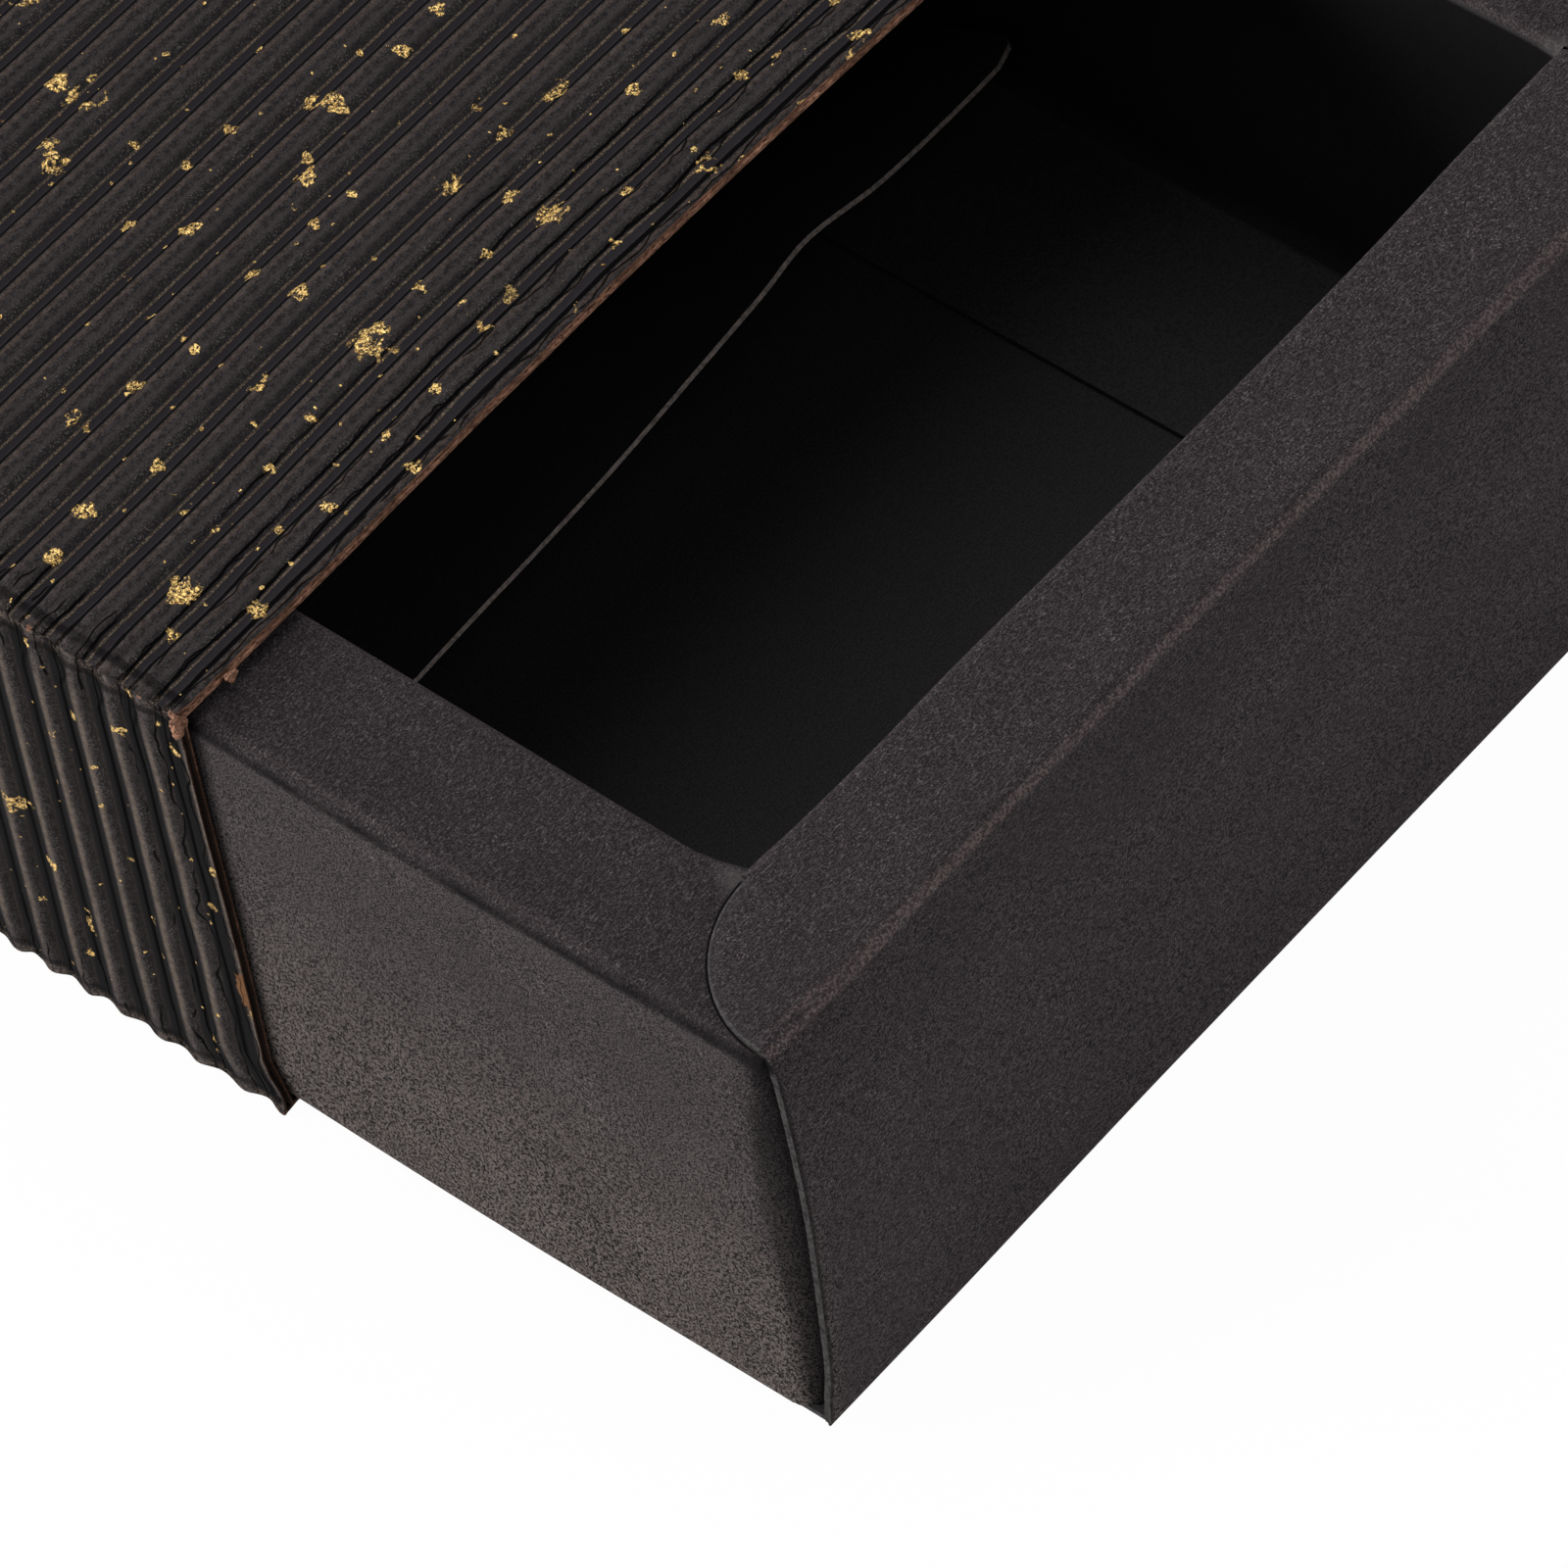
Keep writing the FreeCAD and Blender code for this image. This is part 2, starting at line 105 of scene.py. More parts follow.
class Graph:  # the nodes of a material or of the world
    def __init__(self, owner):
        owner.use_nodes = True
        self.owner, self.tree = owner, owner.node_tree

    def feed(self, socket, value):
        if isinstance(value, Feed):
            self.tree.links.new(value.socket, socket)
        else:
            socket.default_value = value

    def node(self, kind, settings=None, values=None, out=0):
        made = self.tree.nodes.new("ShaderNode" + kind)
        for key, value in (settings or {}).items():
            setattr(made, key, value)
        for key, value in (values or {}).items():
            self.feed(made.inputs[key], value)
        return Feed(self, made, out)

    def seen(self):  # 1 for what the camera sees, also in a mirror, 0 for light on its way between surfaces
        ray = self.node("LightPath", out="Is Camera Ray")
        return (ray + ray.out("Is Glossy Ray") + ray.out("Is Transmission Ray")).atMost(1.0)


class Finish(Graph):  # one material and the few moves that build it
    def __init__(self, name):
        super().__init__(bpy.data.materials.new(name))
        self.shader = self.tree.nodes["Principled BSDF"]
        self.place = self.node("TexCoord", out="Object")

    def noise(self, size, detail=2.0, rough=0.5, turn=None, stretch=None, at=None):  # size of its grains in mm
        if turn:  # streaks: the place is turned in degrees and squeezed
            at = self.node("Mapping", None, {
                "Vector": self.place, "Rotation": [math.radians(angle) for angle in turn], "Scale": stretch})
        return self.node("TexNoise", None, {
            "Vector": at or self.place, "Scale": 1 / (size * mm), "Detail": detail, "Roughness": rough}, "Fac")

    def noises(self, table):  # one for each row of a table
        return [self.noise(*row) for row in table.values()]

    def rise(self, value, low, high, start=0.0, end=1.0):  # 0 below low, 1 above high, smooth between
        return self.node("MapRange", {"interpolation_type": "SMOOTHSTEP"}, {
            "Value": value, "From Min": low, "From Max": high, "To Min": start, "To Max": end})

    def fall(self, value, low, high):
        return self.rise(value, low, high, 1.0, 0.0)

    def split(self, vector):
        return self.node("SeparateXYZ", None, {0: vector})

    def mix(self, share, first, second):
        first, second = ((*tone, 1) if isinstance(tone, tuple) else tone for tone in (first, second))
        return self.node("Mix", {"data_type": "RGBA"}, {0: share, 6: first, 7: second}, out=2)

    def coat(self, tone, *coats):  # each coat is its share and its colour, over the ones before it
        for share, colour in coats:
            tone = self.mix(share, tone, colour)
        return tone

    def painted(self, name):  # a number kept on the piece's own points
        return self.node("Attribute", {"attribute_name": name}, out="Fac")

    def surface(self, tone, roughness, sheen=0.5, height=None, relief=0.0, metal=0.0):  # relief in mm
        values = {"Base Color": tone, "Roughness": roughness, "Specular IOR Level": sheen, "Metallic": metal}
        if height:
            values["Normal"] = self.node("Bump", None, {
                "Height": height, "Distance": relief * mm, "Strength": 1.0})
        for key, value in values.items():
            self.feed(self.shader.inputs[key], value)
        return self.owner


def restart():
    if bpy.context.mode != "OBJECT":
        bpy.ops.object.mode_set(mode="OBJECT")
    bpy.ops.object.select_all(action="DESELECT")


def pickOnly(piece):
    restart()
    piece.select_set(True)
    bpy.context.view_layer.objects.active = piece


def named(name):  # the piece that was just made
    piece = bpy.context.object
    piece.name = piece.data.name = name
    return piece


def settle():  # writes the picked piece's place, turn and size into its points
    bpy.ops.object.transform_apply(location=True, rotation=True, scale=True)


def startGrid(name, grid, middle, span, turn=(0, 0, 0)):  # columns and rows, at their size and place in mm
    restart()
    bpy.ops.mesh.primitive_grid_add(
        x_subdivisions=grid[0], y_subdivisions=grid[1], size=1, location=Vector(middle) * mm,
        rotation=[math.radians(angle) for angle in turn])
    piece = named(name)
    piece.scale = (span[0] * mm, span[1] * mm, 1)
    settle()
    bpy.ops.object.mode_set(mode="EDIT")
    return piece


def twin(piece, name):
    pickOnly(piece)
    bpy.ops.object.duplicate(linked=False)
    return named(name)


def pick(piece, kind, wanted):  # the points, edges or faces that pass a test
    bpy.context.tool_settings.mesh_select_mode = [kind == each for each in ("verts", "edges", "faces")]
    bpy.ops.mesh.select_all(action="DESELECT")
    shape = bmesh.from_edit_mesh(piece.data)
    for part in getattr(shape, kind):
        if wanted(part):
            part.select_set(True)
    bmesh.update_edit_mesh(piece.data)


def pickEdges(piece, lies):  # open edges whose two ends both lie where the test says, in mm
    pick(piece, "edges", lambda edge: edge.is_boundary and all(lies(*(point.co / mm)) for point in edge.verts))


def pickLine(piece, axis, at):  # open edges at one place along an axis
    pickEdges(piece, lambda *place: abs(place["xyz".index(axis)] - at) < touch)


def drawOut(*moves):  # extrudes the picked edges, one move after another, in mm
    for move in moves:
        bpy.ops.mesh.extrude_region_move(TRANSFORM_OT_translate={"value": Vector(move) * mm})


def drawEven(move, steps):
    drawOut(*[[length / steps for length in move]] * steps)


def roundOff(centre, axis, degrees, steps):  # turns the picked edges through a fold; spin counts clockwise
    bpy.ops.mesh.spin(steps=steps, angle=-math.radians(degrees), center=Vector(centre) * mm, axis=axis)


def foldOver(piece, height, margin, *fold):  # from the edges at one height: a straight margin, then the fold
    pickLine(piece, "z", height)
    drawOut((0, 0, margin))
    roundOff(*fold)


def weld(piece, outward):  # merges doubles and turns the sheet's face outward
    bpy.ops.mesh.select_all(action="SELECT")
    bpy.ops.mesh.remove_doubles(threshold=0.004 * mm)
    bpy.ops.mesh.normals_make_consistent(inside=False)
    shape = bmesh.from_edit_mesh(piece.data)
    probe = max(shape.faces, key=lambda face: face.calc_center_median().dot(Vector(outward)))
    if probe.normal.dot(Vector(outward)) < 0:
        bpy.ops.mesh.flip_normals()
    bpy.ops.object.mode_set(mode="OBJECT")


def bend(piece, rule):  # moves every point by a rule in mm
    for point in piece.data.vertices:
        point.co = Vector(rule(*(point.co / mm))) * mm


def thicken(piece, depth, rim=0, reverse=0):  # gives the sheet its thickness behind its face
    pickOnly(piece)
    wall = piece.modifiers.new("thickness", "SOLIDIFY")
    wall.thickness, wall.offset, wall.use_even_offset = depth * mm, -1, True
    wall.material_offset_rim, wall.material_offset = rim, reverse
    bpy.ops.object.modifier_apply(modifier="thickness")


def giveFinishes(piece, *finishes):
    for material in finishes:
        piece.data.materials.append(material)


def smoothOver(piece, degrees=40):
    pickOnly(piece)
    bpy.ops.object.shade_smooth_by_angle(angle=math.radians(degrees))


def paint(piece, name, rule):  # keeps a number on each point, worked out from its place in mm
    layer = piece.data.attributes.new(name, "FLOAT", "POINT")
    layer.data.foreach_set("value", [rule(*(point.co / mm)) for point in piece.data.vertices])


def unpainted(x, y, z):
    return 0.0


def dress(piece, body, replaced=()):
    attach(piece, body)
    if replaced:
        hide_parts(*replaced)


def hump(x, low, high):  # 0 at both ends, 1 in the middle, smooth
    if not low < x < high:
        return 0.0
    return 0.5 - 0.5 * math.cos(2 * math.pi * (x - low) / (high - low))


def ease(x, low, high):  # 0 before low, 1 after high, smooth
    share = min(max((x - low) / (high - low), 0.0), 1.0)
    return share * share * (3 - 2 * share)


def fade(x, low, high):  # 1 before low, 0 after high
    return 1 - ease(x, low, high)


def bell(x, width):
    return math.exp(-(x / width) ** 2)


def along(x, stations):  # a smooth curve through (place, value) pairs
    places = [place for place, value in stations]
    x = min(max(x, places[0]), places[-1])
    k = min(max(sum(place <= x for place in places) - 1, 0), len(stations) - 2)

    def slope(n):
        (x0, y0), (x1, y1) = stations[max(n - 1, 0)], stations[min(n + 1, len(stations) - 1)]
        return (y1 - y0) / (x1 - x0)

    (x0, y0), (x1, y1) = stations[k], stations[k + 1]
    span = x1 - x0
    u = (x - x0) / span
    return (y0 * (1 + 2 * u) * (1 - u) ** 2 + slope(k) * span * u * (1 - u) ** 2
            + y1 * u * u * (3 - 2 * u) - slope(k + 1) * span * u * u * (1 - u))


def wander(*place):  # smooth noise between -1 and 1
    return noise.noise(Vector(place))


drawer = {"half": 54.75, "front": -94.0, "back": -4.0, "bottom": 1.45, "top": 41.45,
          "rim": 11.3, "card": 0.5, "sideIn": 0.1, "floor": 1.95, "trim": 0.88}
drawer["middle"] = (drawer["front"] + drawer["back"]) / 2
drawer["wing"] = drawer["half"] - drawer["rim"]  # where the sides' rims and the ears begin
drawer["near"] = drawer["front"] + drawer["rim"]  # the end walls' inner faces
drawer["far"] = drawer["back"] - drawer["rim"]

# folds' radii and straight margins in mm; grid counts the wall's cells, the rest count cells across each part
endFolds = {"top": 1.0, "inner": 0.7, "bottom": 0.22, "support": 0.4, "droop": 0.16, "grid": (44, 16),
            "topCells": 7, "innerCells": 6, "bottomCells": 5, "earCells": 14, "wallCells": 12,
            "steps": (0.45, 1.45, 1.9, 1.9, 1.9, 1.9, 1.30, 0.26, 0.24)}  # columns across an ear
endFolds["depth"] = drawer["rim"] - endFolds["top"] - endFolds["inner"]

# coarseTone: the side walls' rougher grain, painted paler than the card's tone as painted light
cardLook = {"tone": (0.0640, 0.0535, 0.0565), "deep": (0.0105, 0.0092, 0.0100),
            "coarseTone": (0.1180, 0.1000, 0.0940), "coarseDeep": (0.0035, 0.0031, 0.0031),
            "fibre": (0.150, 0.132, 0.132), "worn": (0.155, 0.118, 0.114), "roughness": 0.72,
            "relief": 0.007, "sheen": 0.03, "fibres": 0.75, "tight": 0.070, "ears": True}
# the card inside the drawer is painted darker than the outside card: painted shade
shadedInsideLook = {"tone": (0.0480, 0.0450, 0.0470), "deep": (0.0280, 0.0265, 0.0278),
              "fibre": (0.055, 0.053, 0.053), "worn": (0.04, 0.036, 0.036), "roughness": 0.9,
              "relief": 0.02, "sheen": 0.03, "fibres": 0.3, "tight": 0.16, "ears": False}
shadedInsideLook.update(coarseTone=shadedInsideLook["tone"], coarseDeep=shadedInsideLook["deep"])
# bare: pale raw fibres; sheenStrip: a painted sheen beside the ears' edges; shaded: the colour of painted shade
cardShades = {"bare": (0.115, 0.108, 0.108), "sheenStrip": (0.080, 0.080, 0.090),
              "shaded": (0.0035, 0.0032, 0.0034)}
cardNoises = {  # size in mm, detail, roughness, and for the fibres their turn and stretch
    "cloud": (8, 3), "grain": (0.14, 1, 0.6), "mottle": (0.40, 2, 0.6), "pith": (0.22, 1, 0.6),
    "specks": (0.17, 0), "patch": (0.45, 4, 0.7), "strands": (0.50, 1, 0.6, (34, -18, 27), (1, 4.5, 4.5)),
    "cross": (0.50, 1, 0.5, (-52, 31, 64), (1, 5, 5)), "stray": (0.60, 1, 0.5, (15, 70, -35), (1, 6, 6))}
earLine = {"low": (40.2, 40.5), "high": (41.05, 41.15), "face": (41.0, 41.1)}  # heights on the ears' outline
earLine["wide"] = drawer["rim"] - drawer["trim"]
earLine["crease"] = drawer["back"] - drawer["middle"] - endFolds["top"]
edgeLook = {"tone": (0.050, 0.047, 0.047), "deep": (0.012, 0.011, 0.011)}
# the loose flaps' cut edges are painted far paler than the other cut edges: a painted highlight
flapEdgeHighlightLook = {"tone": (0.48, 0.41, 0.375), "deep": (0.21, 0.185, 0.170)}
foldCornerShadow = {"low": (39.2, 39.9), "high": (40.7, 41.1), "tone": (0.003, 0.003, 0.003)}


def metres(values):
    return [value * mm for value in values]


def cardFinish(name, look):  # dyed card: cloudy, short pale fibres lying along the grain, rubbed at the folds; painted shade, sheen and light
    finish = Finish(name)
    rise, fall, mix = finish.rise, finish.fall, finish.mix
    cloud, grain, mottle, pith, specks, patch, strands, cross, stray = finish.noises(cardNoises)
    coarse, rubbed, bare, shaded = (finish.painted(layer) for layer in ("grainyAndLit", "rubbed", "bare", "shaded"))
    cloud, patch = rise(cloud, 0.35, 0.68), rise(patch, 0.47, 0.62)
    fibres = (rise(strands, 0.61, 0.72) + rise(cross, 0.65, 0.75) * 0.9 + rise(stray, 0.67, 0.76)).atMost(1.0)
    specks = rise(specks + coarse * 0.04, 0.69, 0.79) * (0.45 + cloud * 0.55)
    scuffs = rise(pith + (patch - 0.5) * 0.10 + rubbed * 0.14, 0.58, 0.70) * rise(rubbed, 0.20, 0.70)
    place = finish.split(finish.place)
    # painted shade: the rims' tops are a little darker, and their grain calmer
    rims = rise(place.out("Z"), 40.0 * mm, 40.8 * mm)
    mixed = (grain - 0.5) * (0.75 - coarse * 0.25) + (pith - 0.5) * coarse * 0.9 + (strands - 0.5) * 0.25 \
        + (mottle - 0.5) * 0.05
    spread = look["tight"] + coarse * look["tight"] * 0.15
    level = (rise(mixed / spread, -0.5, 0.5) - 0.5) * (0.9 - rims * 0.36 + coarse * 0.1) \
        + 0.5 - rims * 0.07 - coarse * 0.17
    tone = mix(level * (0.92 + cloud * 0.08), mix(coarse, look["deep"], look["coarseDeep"]),
               mix(coarse, look["tone"], look["coarseTone"]))
    tone = finish.coat(
        tone,
        ((fibres * (look["fibres"] * 0.6 + coarse * 0.2)).atMost(1.0), look["fibre"]),
        ((rubbed * 0.14 + scuffs * 0.50).atMost(1.0), look["worn"]),
        ((specks * (0.85 + rubbed)).atMost(1.0), look["fibre"]),
        (bare * (0.5 + patch * 0.5), cardShades["bare"]))
    if look["ears"]:  # painted shade, a dark line on the side's rim where the ear's edge lies, and a painted sheen, a paler strip beside it
        wide, deep = earLine["wide"] * mm, endFolds["depth"] * mm
        dx = (abs(place.out("X")) - drawer["wing"] * mm) / wide
        dy = (earLine["crease"] * mm - abs(place.out("Y") - drawer["middle"] * mm)) / deep
        ring = (dx * dx + dy * dy) ** 0.5
        inside = rise(dy, 0.01, 0.05) * rise(dx, 0.0, 0.05)
        line = rise(ring, 0.990, 0.996) * fall(ring - dy * dy * dy * 0.034, 1.007, 1.016) * inside \
            * rise(place.out("Z"), *metres(earLine["low"])) * fall(place.out("Z"), *metres(earLine["high"]))
        sheenStrip = rise(ring, 0.88, 0.95) * fall(ring, 0.985, 0.998) * inside \
            * rise(place.out("Z"), *metres(earLine["face"]))
        tone = mix(sheenStrip * (0.04 + patch * 0.16), tone, cardShades["sheenStrip"])
        shaded = shaded.atLeast(line * 0.95)
    height = grain * 0.6 + strands * 0.3 + fibres * 0.5 + specks * 0.6
    # painted shade, from the pieces' painted numbers and the ears' dark line
    tone = mix(shaded, tone, cardShades["shaded"])
    roughness = look["roughness"] - fibres * 0.10 + grain * 0.08
    return finish.surface(tone, roughness, look["sheen"], height, look["relief"])


def edgeFinish(name, look):  # the card's cut edge: pale layers, with painted shade, near black, where the fold's corner hides them
    finish = Finish(name)
    layers, up = finish.noise(0.35, 3, 0.7), finish.split(finish.place).out("Z")
    cornerShadow = finish.rise(up, *metres(foldCornerShadow["low"])) * finish.fall(up, *metres(foldCornerShadow["high"])) * 0.85
    tone = finish.mix(finish.rise(layers, 0.35, 0.65), look["deep"], look["tone"])
    return finish.surface(finish.mix(cornerShadow, tone, foldCornerShadow["tone"]), 0.8, 0.08, layers, 0.04)


trayCard = cardFinish("trayCard", cardLook)
insideCard = cardFinish("insideCard", shadedInsideLook)
cutEdge = edgeFinish("cutEdge", edgeLook)
flapEdge = edgeFinish("flapEdge", flapEdgeHighlightLook)
print("card finishes made")

def fromSide(x):
    return drawer["half"] - abs(x)


def fromEnd(y):  # from the nearer end
    return min(y - drawer["front"], drawer["back"] - y)


def earReach(x, inFromEnd):  # across and along an ear, as shares of its quarter round
    return ((abs(x) - drawer["half"] + drawer["rim"]) / drawer["rim"],
            (inFromEnd - endFolds["top"]) / endFolds["depth"])


def earDroop(x, z, inFromEnd):  # the ears' margins are pressed down onto the sides
    across, deep = earReach(x, inFromEnd)
    if across < 0 or deep < 0:
        return 0.0
    return endFolds["droop"] * ease(math.hypot(across, deep), 0.80, 1.0) * ease(z, 40, 41)


def foldEnd(name):  # front: wall, rounded fold, rim with its two quarter-round ears, inner wall
    front, inner, top, low, wing = (drawer[key] for key in ("front", "near", "top", "bottom", "wing"))
    fold, lip, foot, hold = (endFolds[key] for key in ("top", "inner", "bottom", "support"))
    squeeze = endFolds["depth"] / drawer["rim"]
    crease = front + fold
    z0, z1 = low + foot + hold, top - fold - hold
    piece = startGrid(name, endFolds["grid"], (0, front, (z0 + z1) / 2), (2 * wing, z1 - z0), (90, 0, 0))
    for side in (-1, 1):
        pickLine(piece, "x", side * wing)
        drawOut(*[(side * step, 0, 0) for step in endFolds["steps"]])
    foldOver(piece, z0, -hold, (0, front + foot, low + foot), (1, 0, 0), 90, endFolds["bottomCells"])
    foldOver(piece, z1, hold, (0, crease, top - fold), (1, 0, 0), -90, endFolds["topCells"])
    for side in (-1, 1):
        pickEdges(piece, lambda x, y, z: z > top - touch and side * x > wing - touch)
        roundOff((side * wing, crease, top), (0, 0, 1), 90 * side, endFolds["earCells"])
    pick(piece, "verts", lambda point: point.co.y / mm > crease + touch and point.co.z / mm > top - touch)
    bpy.ops.transform.resize(value=(1, squeeze, 1), center_override=Vector((0, crease, top)) * mm)
    pickEdges(piece, lambda x, y, z: z > top - touch and abs(y - crease) < touch and abs(x) < wing + touch)
    drawOut(*[(0, step * squeeze, 0) for step in endFolds["steps"]])
    roundOff((0, inner - lip, top - lip), (1, 0, 0), -90, endFolds["innerCells"])
    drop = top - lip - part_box("front_inner_wall")[0].z / mm
    drawOut((0, 0, -hold))
    drawEven((0, 0, hold - drop), endFolds["wallCells"])
    weld(piece, (0, -1, 0))
    return piece


def lineInside(piece):  # the sheet's faces that look into the drawer get the darker inside card, painted shade
    rim = drawer["rim"] - 0.05
    giveFinishes(piece, trayCard, cutEdge, insideCard)
    for face in piece.data.polygons:
        x, y, z = face.center / mm
        if z < drawer["top"] - 0.55 and fromSide(x) > rim and fromEnd(y) > rim:
            face.material_index = 2


def bareEdge(x, y, z):  # 1 on the ears' outline, 0 a tenth of a millimetre inside it
    across, deep = earReach(x, y - drawer["front"])
    if z < drawer["top"] - 0.05 or across * drawer["rim"] < touch:
        return 0.0
    return ease(math.hypot(across, deep), 0.990, 0.999)


frontPanel = foldEnd("frontPanel")
lineInside(frontPanel)
paint(frontPanel, "bare", bareEdge)
print("front panel", len(frontPanel.data.vertices), "points")
backPanel = twin(frontPanel, "backPanel")
bpy.ops.transform.rotate(value=math.pi, orient_axis="Z", center_override=(0, drawer["middle"] * mm, 0))
settle()

cornerSpring = {"left": 1.45, "right": 0.7, "reach": 26, "roll": 0.8, "rollReach": 10,
                # share of the spring, by mm down from the rim
                "profile": ((0, 0), (1.5, 0.20), (5, 0.48), (10, 0.76), (16.6, 1.0), (23, 0.94), (28, 0.82),
                            (33.6, 0.58), (37.5, 0.14), (40, 0))}
frontForm = {"lean": 0.40, "ripple": 0.10, "dip": 0.16, "belly": 0.22, "wave": 0.05,
             "sag": ((-55, 0), (-44, 0.02), (-38.8, 0.36), (-30.6, 0.50), (-22, 0.33), (-10, 0.42), (10, 0.58),
                     (22, 0.50), (32, 0.20), (44, 0.02), (55, 0))}
backForm = {"lean": 0.35, "ripple": 0.10, "wave": 0.05}


def springOut(x, z):  # how far the front's corner has sprung forward at this height
    return cornerSpring["left" if x < 0 else "right"] * along(drawer["top"] - z, cornerSpring["profile"])


def footBelly(x):
    return frontForm["belly"] * fade(abs(x + 52), 8, 34)


def trimmed(x, z):  # the ends' cut edges stand in from the sides, most at the top
    wing = drawer["wing"]
    share = 0.12 + 0.88 * (z - drawer["bottom"]) / (drawer["top"] - drawer["bottom"])
    if abs(x) <= wing:
        return x
    return math.copysign(wing + (abs(x) - wing) * (1 - drawer["trim"] / drawer["rim"] * share), x)


def rolled(inward, down, radius):  # spreads the fold's small arc over a larger one
    small = endFolds["top"]
    if radius < small + touch or inward >= radius or down >= radius:
        return inward, down
    if inward < 0.001:
        run = radius - down
    elif down < 0.001:
        run = radius - small + math.pi / 2 * small + inward - small
    else:
        run = radius - small + math.atan2(small - down, small - inward) * small
    turn = math.pi / 2 * run / (2 * (radius - small) + math.pi / 2 * small)
    return radius * (1 - math.cos(turn)), radius * (1 - math.sin(turn))


def frontBow(x, y, z):  # the card isn't flat: the wall leans in a little, the rim's inner edge sags forward
    inFromSide = fromSide(x)
    spring = springOut(x, z) * fade(inFromSide, -6, cornerSpring["reach"]) * fade(y - drawer["front"], 0.8, 2.4)
    radius = endFolds["top"] + cornerSpring["roll"] * fade(inFromSide, 1, cornerSpring["rollReach"])
    inFromFront, down = rolled(y - drawer["front"], drawer["top"] - z, radius)
    y, z = drawer["front"] + inFromFront, drawer["top"] - down
    inFromFront = y - drawer["front"]
    lean = frontForm["lean"] * hump(x, -62, 40) * ease(z, 2, drawer["top"]) * fade(inFromFront, 2, 10)
    sag = along(x, frontForm["sag"]) * ease(inFromFront, 2, 11) * ease(z, 4, 36)
    ripple = frontForm["ripple"] * wander(x / 23, z / 19, 1.3) * ease(z, 3, 12)
    dip = frontForm["dip"] * hump(x, -50, 50) * hump(inFromFront, 1, 11.8) * ease(z, 38, 41)
    belly = footBelly(x) * fade(z, 3, 26) * fade(inFromFront, 1, 3)
    wave = frontForm["wave"] * wander(x / 17, y / 9, 7.1) * ease(z, 36, 41)
    return trimmed(x, z), y + lean - sag + ripple - belly - spring, z - dip - earDroop(x, z, inFromFront) + wave


def backBow(x, y, z):
    inFromBack = drawer["back"] - y
    lean = backForm["lean"] * hump(x, -50, 58) * ease(z, 2, drawer["top"]) * fade(inFromBack, 2, 10)
    ripple = backForm["ripple"] * wander(x / 25, z / 21, 9.7) * ease(z, 3, 12)
    wave = backForm["wave"] * wander(x / 19, y / 9, 3.4) * ease(z, 36, 41)
    return trimmed(x, z), y - lean + ripple, z - earDroop(x, z, inFromBack) + wave


bend(frontPanel, frontBow)
bend(backPanel, backBow)

sideFolds = {"top": 1.25, "inner": 0.7, "bottom": 0.22, "foot": 0.45, "corner": 2.6, "support": 0.4,
             "flap": 18.0, "tab": 24.0, "grid": (16, 34), "endCells": 5, "topCells": 7, "innerCells": 6,
             "bottomCells": 5, "rimCells": 6, "wallCells": 12, "footCells": 4, "flapCells": 8, "cornerCells": 8,
             "tabCells": 6}


def foldSide(name):  # left: wall, rounded ends running into the corner tabs, rim, inner wall, floor flap
    outer, top, low = -(drawer["half"] - drawer["sideIn"]), drawer["top"] - drawer["card"], drawer["bottom"]
    inner, near, far = -drawer["wing"], drawer["near"], drawer["far"]
    fold, lip, foot, curl, hold, turn = (
        sideFolds[key] for key in ("top", "inner", "bottom", "foot", "support", "corner"))
    ends = (drawer["front"] + drawer["card"] + turn, drawer["back"] - drawer["card"] - turn)
    z0, z1 = low + foot + hold, top - fold - hold
    piece = startGrid(name, sideFolds["grid"], (outer, (near + far) / 2, (z0 + z1) / 2), (z1 - z0, far - near),
                      (0, 90, 0))
    for place, end in ((near, ends[0]), (far, ends[1])):
        pickLine(piece, "y", place)
        drawEven((0, end - place, 0), sideFolds["endCells"])
    foldOver(piece, z0, -hold, (outer + foot, 0, low + foot), (0, 1, 0), -90, sideFolds["bottomCells"])
    foldOver(piece, z1, hold, (outer + fold, 0, top - fold), (0, 1, 0), 90, sideFolds["topCells"])
    drawOut((hold, 0, 0))
    drawEven((inner - lip - outer - fold - 2 * hold, 0, 0), sideFolds["rimCells"])
    drawOut((hold, 0, 0))
    pickEdges(piece, lambda x, y, z: z > top - touch and abs(x - inner + lip) < touch
              and near - touch < y < far + touch)
    roundOff((inner - lip, 0, top - lip), (0, 1, 0), 90, sideFolds["innerCells"])
    bottom = drawer["floor"] + drawer["card"]
    drawOut((0, 0, -hold))
    drawEven((0, 0, hold - (top - lip - bottom - curl)), sideFolds["wallCells"])
    roundOff((inner + curl, 0, bottom + curl), (0, 1, 0), -90, sideFolds["footCells"])
    drawOut((hold, 0, 0))
    drawEven((sideFolds["flap"] - curl - hold, 0, 0), sideFolds["flapCells"])
    for end, way in ((ends[0], -1), (ends[1], 1)):  # the rim runs on under the ears, the wall turns to a tab
        pickEdges(piece, lambda x, y, z: abs(y - end) < touch and z > top - fold - touch)
        drawOut((0, way * turn * 0.93, 0))
        pickEdges(piece, lambda x, y, z: abs(y - end) < touch and low + foot - touch < z < z1 + hold + touch
                  and x < outer + touch)
        roundOff((outer + turn, end, 0), (0, 0, 1), -90 * way, sideFolds["cornerCells"])
        drawEven((sideFolds["tab"], 0, 0), sideFolds["tabCells"])
    weld(piece, (-1, 0, 0))
    return piece


sideTaper = {"gap": 0.5, "narrow": 1.5, "corner": 3.0, "cornerFrom": 0.86,  # the floor flap
             "tabStart": 52.65, "tabNarrow": 0.10, "tabEnd": 0.14, "tabEndFrom": 0.8}


